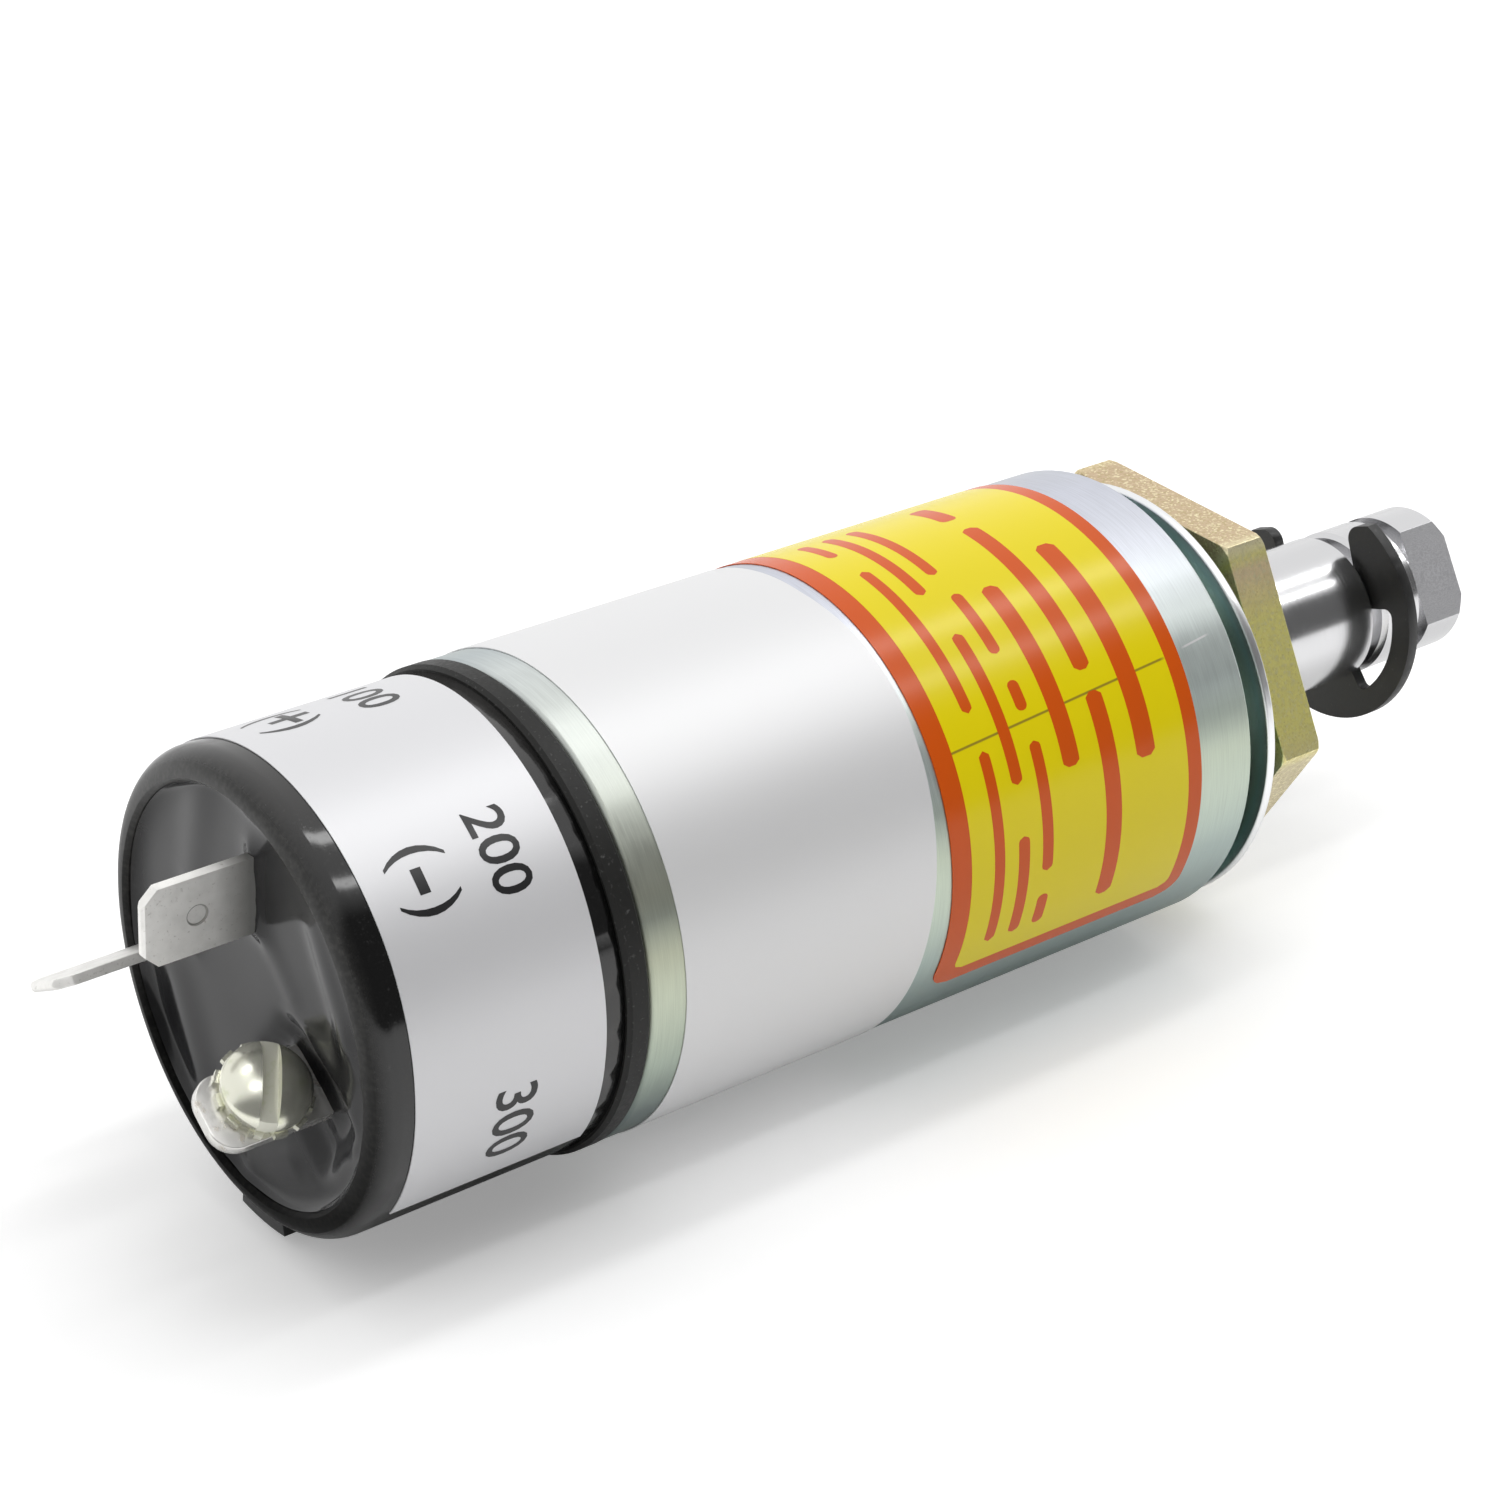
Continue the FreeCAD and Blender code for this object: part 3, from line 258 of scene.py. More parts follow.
def angle_round(tree, y, z):
    """Angle round the axis in degrees, from 0 to 360."""
    turn = calc(tree, "DEGREES", calc(tree, "ARCTAN2", z, y))
    return calc(tree, "FLOORED_MODULO", turn, full_turn)


def radius_from(tree, y, z, y0=0.0, z0=0.0):
    """Distance from a line along X through y0, z0."""
    across = calc(tree, "POWER", calc(tree, "SUBTRACT", y, y0), 2.0)
    upward = calc(tree, "POWER", calc(tree, "SUBTRACT", z, z0), 2.0)
    return calc(tree, "SQRT", calc(tree, "ADD", across, upward))


def line_mask(tree, x, angle, start, end, width):
    """A soft thin line on the cylinder between two (x, angle) points; width is in degrees."""
    (x1, a1), (x2, a2) = start, end
    fade = 0.6
    slope = (a2 - a1) / (x2 - x1)
    ideal = calc(tree, "MULTIPLY_ADD", x, slope, a1 - slope * x1)
    away = calc(tree, "ABSOLUTE", calc(tree, "SUBTRACT", angle, ideal))
    near = share(tree, away, width, width * 0.4)
    middle, half = (x1 + x2) / 2, abs(x2 - x1) / 2
    reach = calc(tree, "ABSOLUTE", calc(tree, "SUBTRACT", x, middle))
    return calc(tree, "MULTIPLY", near, share(tree, reach, half, half - fade))


def brushed(name, colour, rough, brush=0.25, plating=None, fine=12.0, shine=0.25, scratch=None):
    """Metal brushed round the axis; plating is two ramps over the turn, for its rear and its front, which
    carry the plating's tint together with painted light and shade.
    """
    material, tree, shader = paint(name, colour, rough, 1.0)
    spot, x, y, z = place(tree)
    lines = noise(tree, spot, 1.0, 4.0, (fine, 0.3, 0.3))
    base = colour
    if plating:
        turn = calc(tree, "DIVIDE", angle_round(tree, y, z), full_turn)
        base = blend(tree, share(tree, x, -50.0, -35.0), *[ramp(tree, turn, stops) for stops in plating])
    factor = remap(tree, lines, 0.3, 0.72, 1.0 - brush, 1.0)
    lined = add(tree, "ShaderNodeVectorMath", {0: base, "Scale": factor}, operation="SCALE").outputs[0]
    if scratch:
        mark = line_mask(tree, x, angle_round(tree, y, z), *scratch)
        lined = blend(tree, mark, lined, (0.95, 0.95, 0.95))
    gloss = remap(tree, lines, 0.2, 0.8, rough * (1 - shine), rough * (1 + shine))
    join(tree, shader, Base_Color=lined, Roughness=gloss)
    bump(tree, shader, lines, 0.1)
    return material


def speckled(name, colour, spots, rough, metal=1.0, scale=2.2, strength=0.1, low=0.56, high=0.68,
             **sockets):
    """Metal or plastic with fine specks and slightly uneven gloss."""
    material, tree, shader = paint(name, colour, rough, metal, **sockets)
    fine = noise(tree, place(tree)[0], scale, 4.0)
    join(tree, shader, Base_Color=blend(tree, share(tree, fine, low, high), colour, spots),
         Roughness=remap(tree, fine, 0.3, 0.7, rough * 0.85, rough * 1.2))
    bump(tree, shader, fine, strength)
    return material


# The shell's plating over the turn: greenish yellow behind, lavender to blue-green in front. Besides the
# plating's tint, the ramps hold painted light and shade: lighter and darker stops set by how the lamps
# fall, a dark dip near 155 to 160 degrees as a painted reflection of the dim front, and painted shade on
# the lower side round 216 degrees.
rear_plating_and_painted_light = [
    (0.0, (0.60, 0.63, 0.55)), (0.21, (0.56, 0.61, 0.62)), (0.25, (0.70, 0.74, 0.73)),
    (0.31, (0.59, 0.62, 0.59)), (0.345, (0.59, 0.62, 0.58)), (0.385, (0.72, 0.76, 0.68)),
    (0.43, (0.46, 0.48, 0.40)), (0.446, (0.38, 0.41, 0.35)), (0.47, (0.55, 0.58, 0.45)),
    (0.5, (0.57, 0.62, 0.50)), (0.545, (0.46, 0.53, 0.45)), (0.6, (0.25, 0.30, 0.29)),
    (1.0, (0.60, 0.63, 0.55))]
front_plating_and_painted_light = [
    (0.0, (0.60, 0.63, 0.55)), (0.2, (0.66, 0.68, 0.74)), (0.25, (0.70, 0.72, 0.80)),
    (0.32, (0.71, 0.73, 0.79)), (0.38, (0.76, 0.82, 0.80)), (0.43, (0.68, 0.76, 0.73)),
    (0.446, (0.52, 0.59, 0.53)), (0.475, (0.60, 0.67, 0.55)), (0.51, (0.57, 0.65, 0.56)),
    (0.55, (0.47, 0.56, 0.53)), (0.6, (0.35, 0.43, 0.42)), (1.0, (0.60, 0.63, 0.55))]
shell_scratch = ((-5.2, 144.1), (-1.9, 143.0), 0.35)


def plunger_metal():
    """Turned and polished, with matt milled flats for the wrench."""
    flat_turn, flat_level, flat_start = math.radians(151.0), 4.72, 33.6
    material, tree, shader = paint("polished_plunger", (0.70, 0.70, 0.71), 0.2, 1.0)
    spot, x, y, z = place(tree)
    out = calc(tree, "ADD", calc(tree, "MULTIPLY", y, math.cos(flat_turn)),
               calc(tree, "MULTIPLY", z, math.sin(flat_turn)))
    flat = calc(tree, "MULTIPLY", calc(tree, "GREATER_THAN", calc(tree, "ABSOLUTE", out), flat_level),
                calc(tree, "GREATER_THAN", x, flat_start))
    lines = noise(tree, spot, 1.0, 3.0, (9.0, 0.3, 0.3))
    pattern = {"Vector": spot, "Scale": 2.6, "Distortion": 14.0, "Detail": 3.0}
    swirl = add(tree, "ShaderNodeTexWave", pattern, wave_type="RINGS").outputs[0]
    milled = blend(tree, swirl, (0.71, 0.71, 0.73), (0.80, 0.80, 0.82))
    turned_gloss = remap(tree, lines, 0.3, 0.7, 0.15, 0.23)
    gloss = mix(tree, flat, turned_gloss, remap(tree, swirl, 0.0, 1.0, 0.44, 0.5))
    join(tree, shader, Roughness=gloss, Base_Color=blend(tree, flat, (0.68, 0.68, 0.69), milled))
    bump(tree, shader, lines, 0.06)
    return material


def washer_metal():
    """Green-blue on the faces and bright on the rim; the rings of colour lie a little off the axis."""
    material, tree, shader = paint("zinc_washer", (0.4, 0.6, 0.6), 0.3, 1.0)
    spot, x, y, z = place(tree)
    outward = share(tree, radius_from(tree, y, z, -0.4, -0.6), 16.0, 18.0)
    join(tree, shader, Base_Color=ramp(tree, outward, [
        (0.0, (0.68, 0.87, 0.74)), (0.5, (0.70, 1.0, 0.97)), (0.78, (0.72, 0.92, 0.90)),
        (0.84, (0.88, 0.90, 0.90)), (1.0, (0.88, 0.88, 0.90))]))
    return material


def nut_metal():
    """Yellow plating with glitter, olive where it faces front and pinkish on the flats beside."""
    material, tree, shader = paint("yellow_zinc_nut", (0.7, 0.6, 0.4), 0.45, 1.0)
    spot, x, y, z = place(tree)
    turn = calc(tree, "DIVIDE", angle_round(tree, y, z), full_turn)
    plated = ramp(tree, turn, [
        (0.0, (0.86, 0.78, 0.42)), (0.165, (0.86, 0.76, 0.46)), (0.185, (0.61, 0.47, 0.31)),
        (0.335, (0.62, 0.49, 0.32)), (0.345, (0.92, 0.86, 0.58)), (0.352, (0.86, 0.80, 0.32)),
        (0.36, (0.86, 0.70, 0.46)), (0.40, (0.90, 0.84, 0.30)), (0.49, (0.86, 0.80, 0.28)),
        (0.51, (0.82, 0.74, 0.37)), (0.52, (0.70, 0.62, 0.42)), (0.66, (0.66, 0.56, 0.40)),
        (0.68, (0.86, 0.78, 0.42)), (1.0, (0.86, 0.78, 0.42))])
    cells = add(tree, "ShaderNodeTexVoronoi", {"Vector": spot, "Scale": 5.5}).outputs["Color"]
    grain = add(tree, "ShaderNodeSeparateXYZ", {0: cells}).outputs[0]
    plated = blend(tree, remap(tree, grain, 0.02, 0.3, 0.4, 0.0), plated, (0.45, 0.40, 0.16))
    plated = blend(tree, remap(tree, grain, 0.7, 0.98, 0.0, 0.6), plated, (1.0, 0.94, 0.62))
    join(tree, shader, Base_Color=plated, Roughness=remap(tree, grain, 0.0, 1.0, 0.55, 0.4))
    bump(tree, shader, noise(tree, spot, 3.6), 0.2)
    return material


def blade_metal():
    """Clouded tin with painted shade that darkens it toward the potting, and a small stamped ring near the
    negative blade's tip.
    """
    ring_middle, ring_radius = (-86.0, -2.3, 9.3), 0.8
    material, tree, shader = paint("tin_blade", (0.84, 0.83, 0.80), 0.42, 0.52)
    spot, x, y, z = place(tree)
    fine = noise(tree, spot, 3.4, 4.0)
    cloud = noise(tree, spot, 0.8)
    metal = blend(tree, share(tree, cloud, 0.4, 0.65), (0.97, 0.96, 0.93), (0.88, 0.87, 0.84))
    metal = blend(tree, remap(tree, fine, 0.62, 0.74, 0.0, 0.5), metal, (0.42, 0.40, 0.36))
    # Painted shade: the blade darkens toward its root at the potting and the cap's rim.
    metal = blend(tree, remap(tree, x, -84.7, -81.8, 0.0, 0.8), metal, (0.20, 0.20, 0.19))
    away = add(tree, "ShaderNodeVectorMath", {0: spot, 1: ring_middle}, operation="DISTANCE")
    off_ring = calc(tree, "ABSOLUTE", calc(tree, "SUBTRACT", away.outputs["Value"], ring_radius))
    metal = blend(tree, remap(tree, off_ring, 0.03, 0.09, 0.75, 0.0), metal, (0.22, 0.21, 0.19))
    join(tree, shader, Base_Color=metal)
    bump(tree, shader, fine, 0.15)
    return material


def screw_metal():
    """Glossy zinc; the milled slot across the head is matt and brighter than the dome."""
    material = speckled("zinc_screw", (0.86, 0.86, 0.74), (0.76, 0.78, 0.60), 0.22, 0.8, 0.9, 0.1)
    tree = material.node_tree
    spot, x, y, z = place(tree)
    across = calc(tree, "ADD", calc(tree, "MULTIPLY_ADD", x, 0.883, 70.70),
                  calc(tree, "ADD", calc(tree, "MULTIPLY", y, -0.370), calc(tree, "MULTIPLY", z, -0.289)))
    milled = calc(tree, "LESS_THAN", calc(tree, "ABSOLUTE", across), 0.672)
    join(tree, tree.nodes["Principled BSDF"], Metallic=remap(tree, milled, 0.0, 1.0, 0.76, 0.15))
    return material


def cap_plastic():
    """Glossy and slightly dusty round the side, worn to a fibrous matt on the rim; painted light makes the
    top of the side and of the rim lighter, and painted shade leaves the rim's lower part darker.
    """
    material, tree, shader = paint("cap_black", (0.012, 0.012, 0.012), 0.16)
    spot, x, y, z = place(tree)
    worn = calc(tree, "MULTIPLY", share(tree, x, -79.9, -80.6),
                share(tree, radius_from(tree, y, z), 18.4, 17.6))
    fibres = noise(tree, spot, 2.4, 6.0, (0.5, 1.0, 1.0))
    scuffs = noise(tree, spot, 4.0)
    # high makes the rim's grey dark below and lighter above: painted light on the top, painted shade on
    # the bottom.
    high = share(tree, z, -12.0, 12.0)
    grey = blend(tree, share(tree, fibres, 0.42, 0.7),
                 blend(tree, high, (0.003, 0.003, 0.003), (0.028, 0.028, 0.027)),
                 blend(tree, high, (0.009, 0.009, 0.008), (0.050, 0.049, 0.047)))
    # upper lightens the top of the side band as painted light; the scuff noise blended in next is dust.
    upper = blend(tree, share(tree, z, 14.5, 18.5), (0.003, 0.003, 0.003), (0.032, 0.031, 0.030))
    dust_and_painted_light = blend(tree, remap(tree, scuffs, 0.62, 0.74, 0.0, 0.5), upper, (0.04, 0.04, 0.04))
    scuffed = remap(tree, scuffs, 0.55, 0.8, 0.0, 0.12)
    rubbed = remap(tree, high, 0.0, 1.0, 0.03, 0.24)
    join(tree, shader, Base_Color=blend(tree, worn, dust_and_painted_light, grey),
         Roughness=calc(tree, "ADD", remap(tree, worn, 0.0, 1.0, 0.1, 0.3), scuffed),
         Specular_IOR_Level=mix(tree, worn, 0.66, rubbed))
    bump(tree, shader, calc(tree, "MULTIPLY", fibres, worn), 0.15, 0.04)
    return material


def yellow_ink():
    """Yellow print with one fine crease, as on the photographed part; the crease is drawn as a thin line
    of painted shade.
    """
    yellow, crease_shade_colour = (0.86, 0.71, 0.002), (0.34, 0.25, 0.02)
    material, tree, shader = paint("yellow_print", yellow, 0.22, Specular_IOR_Level=0.3)
    spot, x, y, z = place(tree)
    # The crease line is painted shade, a darker copy of the yellow.
    crease = line_mask(tree, x, angle_round(tree, y, z), (-30.3, 149.1), (-7.0, 144.8), 0.4)
    join(tree, shader, Base_Color=blend(tree, crease, yellow, crease_shade_colour))
    return material


# The shell's ramps give its plating tint together with painted light and shade.
zinc = brushed("zinc_shell", (0.7, 0.7, 0.7), 0.45, 0.16, (rear_plating_and_painted_light, front_plating_and_painted_light), 14.0, 0.15,
               shell_scratch)
bush_zinc = brushed("zinc_bush", (0.62, 0.66, 0.66), 0.28, 0.25)
screw_zinc = screw_metal()
tin = blade_metal()
bright_tin = speckled("tin_tab", (0.84, 0.83, 0.80), (0.68, 0.64, 0.58), 0.24, 0.7, 1.2, 0.1)
brass = brushed("brass_tube", (0.74, 0.58, 0.30), 0.25, 0.2)
copper = brushed("copper_wire", (0.60, 0.26, 0.12), 0.3, 0.5)
iron = brushed("soft_iron", (0.52, 0.53, 0.54), 0.3, 0.3)
contact_metal = speckled("contact_metal", (0.78, 0.76, 0.72), (0.7, 0.68, 0.62), 0.25)
steel = speckled("spring_steel", (0.50, 0.50, 0.50), (0.42, 0.42, 0.42), 0.25)
clip_black = speckled("black_clip", (0.014, 0.014, 0.014), (0.035, 0.034, 0.033), 0.4, 0.0, 3.0, 0.15,
                      0.64, 0.74)
resin = speckled("potting_black", (0.016, 0.016, 0.017), (0.021, 0.021, 0.022), 0.15, 0.0, 0.5, 0.03,
                 Specular_IOR_Level=0.34)
rubber = speckled("gasket_black", (0.016, 0.016, 0.015), (0.075, 0.075, 0.073), 0.46, 0.0, 3.0, 0.4,
                  0.62, 0.74, Specular_IOR_Level=0.26)
satin = paint("silver_film", (0.80, 0.80, 0.805), 0.5, 0.38)[0]
cap_satin = paint("silver_cap_film", (0.75, 0.75, 0.765), 0.47, 0.38)[0]
orange = paint("orange_print", (0.69, 0.098, 0.004), 0.22, Specular_IOR_Level=0.3)[0]
black_print = paint("black_print", (0.014, 0.014, 0.015), 0.3)[0]
nylon = paint("nylon", (0.70, 0.67, 0.58), 0.4)[0]
tape = paint("tape", (0.62, 0.48, 0.10), 0.3)[0]
phenolic = speckled("phenolic", (0.20, 0.10, 0.05), (0.12, 0.06, 0.03), 0.45, 0.0, 2.0, 0.1)

finishes = {
    "shell": zinc, "mounting_washer": washer_metal(), "mounting_bush": bush_zinc,
    "mounting_nut": nut_metal(), "plunger": plunger_metal(), "retaining_clip": clip_black,
    "terminal_cap": cap_plastic(), "potting": resin, "gasket_ring": rubber,
    "negative_blade": tin, "positive_blade": tin, "auxiliary_tab": bright_tin,
    "auxiliary_screw": screw_zinc, "star_lock_washer": screw_zinc, "cap_label": cap_satin,
    "body_label": satin, "yellow_label": orange, "guide_tube": brass, "hold_in_winding": copper,
    "pull_in_winding": copper, "supply_lead": copper, "return_lead": copper, "pull_lead": copper,
    "auxiliary_lead": copper, "bobbin": nylon, "winding_wrap": tape, "switch_carrier": phenolic,
    "pull_contact": contact_metal, "supply_contact": contact_metal, "contact_bar": contact_metal,
    "push_rod": brass, "contact_spring": steel, "fixed_core": iron, "rear_flux_plate": iron,
}
for node_name, finish in finishes.items():
    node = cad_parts[node_name]
    node.data.materials.clear()
    node.data.materials.append(finish)

bevel_widths = {
    "shell": 0.1, "mounting_washer": 0.08, "terminal_cap": 0.1, "mounting_nut": 0.15,
    "retaining_clip": 0.12, "negative_blade": 0.1, "positive_blade": 0.1, "auxiliary_tab": 0.12,
}
for node_name, width in bevel_widths.items():
    soften(node_name, width)


# Silver films on the shell and the cap; their edges waver a little, as laid on by hand.
body_front = edge_through([(0, -33.3), (97, -32.8), (117, -32.1), (134, -32.0), (150, -32.35),
                           (164, -32.75), (188, -33.5), (202, -33.8), (230, -34.3)])
body_label = film("silver_body_label", lambda angle: -56.47, body_front, shell_radius + film_gap,
                  shell_radius + film_thickness, 0.0, 250.0, satin)
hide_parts("body_label")

cap_rear = edge_through([(12, -79.15), (150, -79.1), (180, -79.25), (219, -79.3)])
cap_front = edge_through([(12, -62.5), (68, -62.6), (110, -63.0), (160, -63.25), (190, -63.2),
                          (219, -62.9)])
cap_label = film("silver_cap_label", cap_rear, cap_front, cap_radius + film_gap,
                 cap_radius + film_thickness, 12.0, 218.6, cap_satin)
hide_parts("cap_label")

# The yellow label is an orange film with a yellow field and rows of plain bars where the print stands.
label_rows = 150
orange_level = shell_radius + 0.09
orange_label = rounded_film("orange_label", -31.5, -5.65, 49.0, 210.8, 2.0, shell_radius,
                            shell_radius + film_gap, orange_level, orange, label_rows)
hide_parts("yellow_label")
yellow_field = rounded_film("yellow_field", -29.6, -7.1, 53.5, 206.3, 0.9, shell_radius,
                            orange_level - 0.01, orange_level + 0.012, yellow_ink(), label_rows)

# Each row: the stations of its rear and front, then the angle ranges of its bars.
bar_rows = (
    (-12.9, -9.7, ((107, 165.3),)),
    (-16.4, -13.7, ((73.7, 87), (93, 141), (146.3, 198.8))),
    (-20.2, -17.4, ((113.8, 161.2),)),
    (-22.8, -21.0, ((73.7, 105.5), (112.8, 130.8), (137.8, 145.2), (152.5, 184.3), (191, 199.7))),
    (-25.25, -23.4, ((73.7, 110.3), (123, 160.8), (173.3, 199.7))),
    (-27.65, -25.95, ((73.7, 87), (96.7, 141.7), (150.8, 199.7))),
)
for row, (rear, front, bars) in enumerate(bar_rows):
    margin = (front - rear) * 0.2
    for number, (first, last) in enumerate(bars):
        bar = rounded_film("bar_%d_%d" % (row, number), rear + margin, front - margin, first, last, 0.5,
                           shell_radius + 0.1, orange_level + 0.005, orange_level + 0.02, orange, 48)


def wrapped_text(name, text, height, x, angle, bold=0.0):
    """Plain figures or signs laid on the cap label; they read along the angle, tops toward +X."""
    radius = cap_radius + film_thickness + 0.01
    capital_share, strip_width = 0.73, 0.4
    curve = bpy.data.curves.new(name, "FONT")
    curve.body = text
    curve.align_x = "CENTER"
    curve.align_y = "CENTER"
    curve.size = height / capital_share
    curve.offset = bold
    curve.resolution_u = 4
    holder = bpy.data.objects.new(name + "_curve", curve)
    bpy.context.scene.collection.objects.link(holder)
    bpy.context.view_layer.update()
    mesh = bpy.data.meshes.new_from_object(holder.evaluated_get(bpy.context.evaluated_depsgraph_get()))
    bpy.data.objects.remove(holder)
    work = bmesh.new()
    work.from_mesh(mesh)
    bpy.data.meshes.remove(mesh)
    # Cut into strips so that the flat text can follow the cylinder.
    width = max(v.co.x for v in work.verts) - min(v.co.x for v in work.verts)
    cut = -width / 2
    while cut < width / 2:
        cut += strip_width
        parts = work.verts[:] + work.edges[:] + work.faces[:]
        bmesh.ops.bisect_plane(work, geom=parts, plane_co=(cut, 0, 0), plane_no=(1, 0, 0))
    points = []
    for vert in work.verts:
        points.append(on_cylinder(x + vert.co.y, radius, angle + math.degrees(vert.co.x / radius)))
    work.verts.index_update()
    faces = [tuple(v.index for v in face.verts) for face in work.faces]
    work.free()
    piece = make_object(name, points, faces, black_print)


figure_x, sign_x = -67.9, -74.2
figure_height, bracket_height = 3.3, 3.9
wrapped_text("cap_figure_a", "100", figure_height, figure_x, 76.0, 0.05)
wrapped_text("cap_sign_a_open", "(", bracket_height, sign_x, 69.6)
wrapped_text("cap_sign_a", "+", 4.6, sign_x, 75.8, 0.08)
wrapped_text("cap_sign_a_close", ")", bracket_height, sign_x, 82.0)
wrapped_text("cap_figure_b", "200", figure_height, figure_x - 0.4, 135.0, 0.05)
wrapped_text("cap_sign_b_open", "(", bracket_height, sign_x, 129.6)
wrapped_text("cap_sign_b", "-", 5.2, sign_x, 135.9, 0.1)
wrapped_text("cap_sign_b_close", ")", bracket_height, sign_x, 142.2)
wrapped_text("cap_figure_c", "300", 3.6, -71.0, 198.0, 0.05)


# Threaded bush: flange and hub, with a real thread form on the hub.
pitch = 1.5875
thread_depth = 0.85
thread_core = 11.0
hub_radius = 11.9
hub_end = 10.3
thread_end = 9.8
bush_bore = 6.95
flange_radius = 17.4
flange_rear, flange_front, hub_root = -4.2, -1.25, -0.4
step_radius = 14.7


def thread_radius(x, radius, angle):
    """Radius of the bush with the thread cut into its hub; the thread fades out toward the flange."""
    if x < 0.0 or not thread_core <= radius <= hub_radius:
        return radius
    phase = (x / pitch - angle / full_turn) % 1.0
    drop = thread_depth * max(0.0, min(1.0, (abs(phase - 0.5) * 2.0 - 0.1) / 0.8))
    fade = min(1.0, max(0.0, (x - 0.3) / 0.8))
    return radius - drop * fade


hub = [(hub_root, hub_radius)]
station = 0.0
while station < thread_end:
    hub.append((station, hub_radius))
    station += pitch / 10
hub += [(9.9, 11.5), (hub_end, 11.05)]
bush_outline = [(flange_rear, bush_bore), (flange_rear, flange_radius), (flange_front, flange_radius),
                (flange_front, step_radius), (hub_root, step_radius), *hub, (hub_end, bush_bore)]
threaded_bush = revolved("threaded_bush", bush_outline, bush_zinc, 192, thread_radius, 25.0)
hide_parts("mounting_bush")


# Potting: poured close to the rim, risen at the rim and the blades, sunk round the auxiliary tab.
recess = 16.08
potting_level = -80.82
potting_limit = -81.7
potting_back = -76.05
# Each tab: y, z, its turn, half its width, and how far the resin has risen on it.
risen_at = ((-1.93, 9.33, 96.0, 3.2, 0.55), (11.3, -0.7, 152.6, 3.2, 0.4),
            (-5.99, -4.68, tab_turn, 2.9, 0.5))
# Each ridge: its two ends as (y, z), its width and its height.
potting_ridges = (
    ((-1.9, 12.6), (-3.2, 16.0), 2.2, 0.2), ((-2.3, 6.0), (-5.5, 2.5), 1.2, 0.12),
    ((-9.5, 9.5), (-13.0, 2.0), 1.6, 0.35), ((-13.0, 2.0), (-12.6, -6.0), 1.5, 0.3),
    ((7.5, 6.5), (5.6, 15.0), 2.1, 0.3), ((11.0, -4.0), (7.5, -14.0), 2.2, 0.28),
    ((1.5, -15.0), (-4.0, -12.0), 1.2, 0.25),
)


def turned(y, z, turn):
    """A point's coordinates along and across a direction."""
    c, s = math.cos(math.radians(turn)), math.sin(math.radians(turn))
    return y * c + z * s, -y * s + z * c


def ridge(y, z, start, end, width):
    """How near a point is to a straight ridge, from 0 to 1."""
    (y1, z1), (y2, z2) = start, end
    run = (y2 - y1, z2 - z1)
    along = ((y - y1) * run[0] + (z - z1) * run[1]) / (run[0] ** 2 + run[1] ** 2)
    along = max(0.0, min(1.0, along))
    away = math.hypot(y - y1 - along * run[0], z - z1 - along * run[1])
    return math.exp(-(away / width) ** 2)


def potting_x(y, z):
    """Station of the poured surface."""
    r, angle = math.hypot(y, z), math.atan2(z, y)
    x = potting_level
    spread = 0.55 + 0.25 * math.sin(3 * angle + 0.6) + 0.15 * math.sin(7 * angle + 2.0)
    x -= 0.8 * math.exp(-max(0.0, recess - r) / spread)
    for y0, z0, turn, half, rise in risen_at:
        u, v = turned(y - y0, z - z0, turn)
        away = math.hypot(max(0.0, abs(u) - half), max(0.0, abs(v) - 0.4))
        x -= rise * math.exp(-away / 0.8)
    u, v = turned(y, z, tab_turn)
    sunk = 1.0 / (1.0 + math.exp((abs(v) - 3.4 - 0.1 * (u - 8)) / 0.45))
    sunk /= (1.0 + math.exp((3.6 - u) / 0.5)) * (1.0 + math.exp((u - 13.2) / 0.5))
    x += 1.5 * sunk
    for start, end, width, rise in potting_ridges:
        x -= rise * ridge(y, z, start, end, width)
    return x + 0.04 * math.sin(0.45 * y + 0.8) * math.cos(0.38 * z - 0.4)


rings, spokes = 80, 200
points = []
for i in range(rings + 1):
    r = recess * (i / rings) ** 0.8
    for j in range(spokes):
        angle = 2 * math.pi * j / spokes
        y, z = r * math.cos(angle), r * math.sin(angle)
        points.append(Vector((max(potting_limit, potting_x(y, z)), y, z)) * MM)
faces = []
for i in range(rings):
    for j in range(spokes):
        k = (j + 1) % spokes
        faces.append((i * spokes + j, i * spokes + k, (i + 1) * spokes + k, (i + 1) * spokes + j))
base = len(points)
for j in range(spokes):
    angle = 2 * math.pi * j / spokes
    points.append(Vector((potting_back, recess * math.cos(angle), recess * math.sin(angle))) * MM)
for j in range(spokes):
    k = (j + 1) % spokes
    faces.append((rings * spokes + j, rings * spokes + k, base + k, base + j))
faces.append(tuple(range(base, base + spokes)))
potting = make_object("poured_potting", points, faces, resin, 50.0)
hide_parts("potting")


# Auxiliary screw: a low domed head with a slot, and a threaded shank, drawn about its own axis.
screw_base = (-83.9, 7.2, 0.0)
washer_height = 1.0
screw_place = (Matrix.Rotation(math.radians(tab_turn), 4, "X") @ Matrix.Translation(Vector(screw_base))
               @ Matrix.Rotation(math.pi, 4, "X"))


def screw_point(u, v, height):
    """A point in the screw's own axes; height runs from the star washer out to the top of the head."""
    return screw_place @ Vector((u, v, height + washer_height)) * MM


def screw_ring(height, radius, angle):
    """A point round the screw's axis."""
    return screw_point(radius * math.cos(angle), radius * math.sin(angle), height)


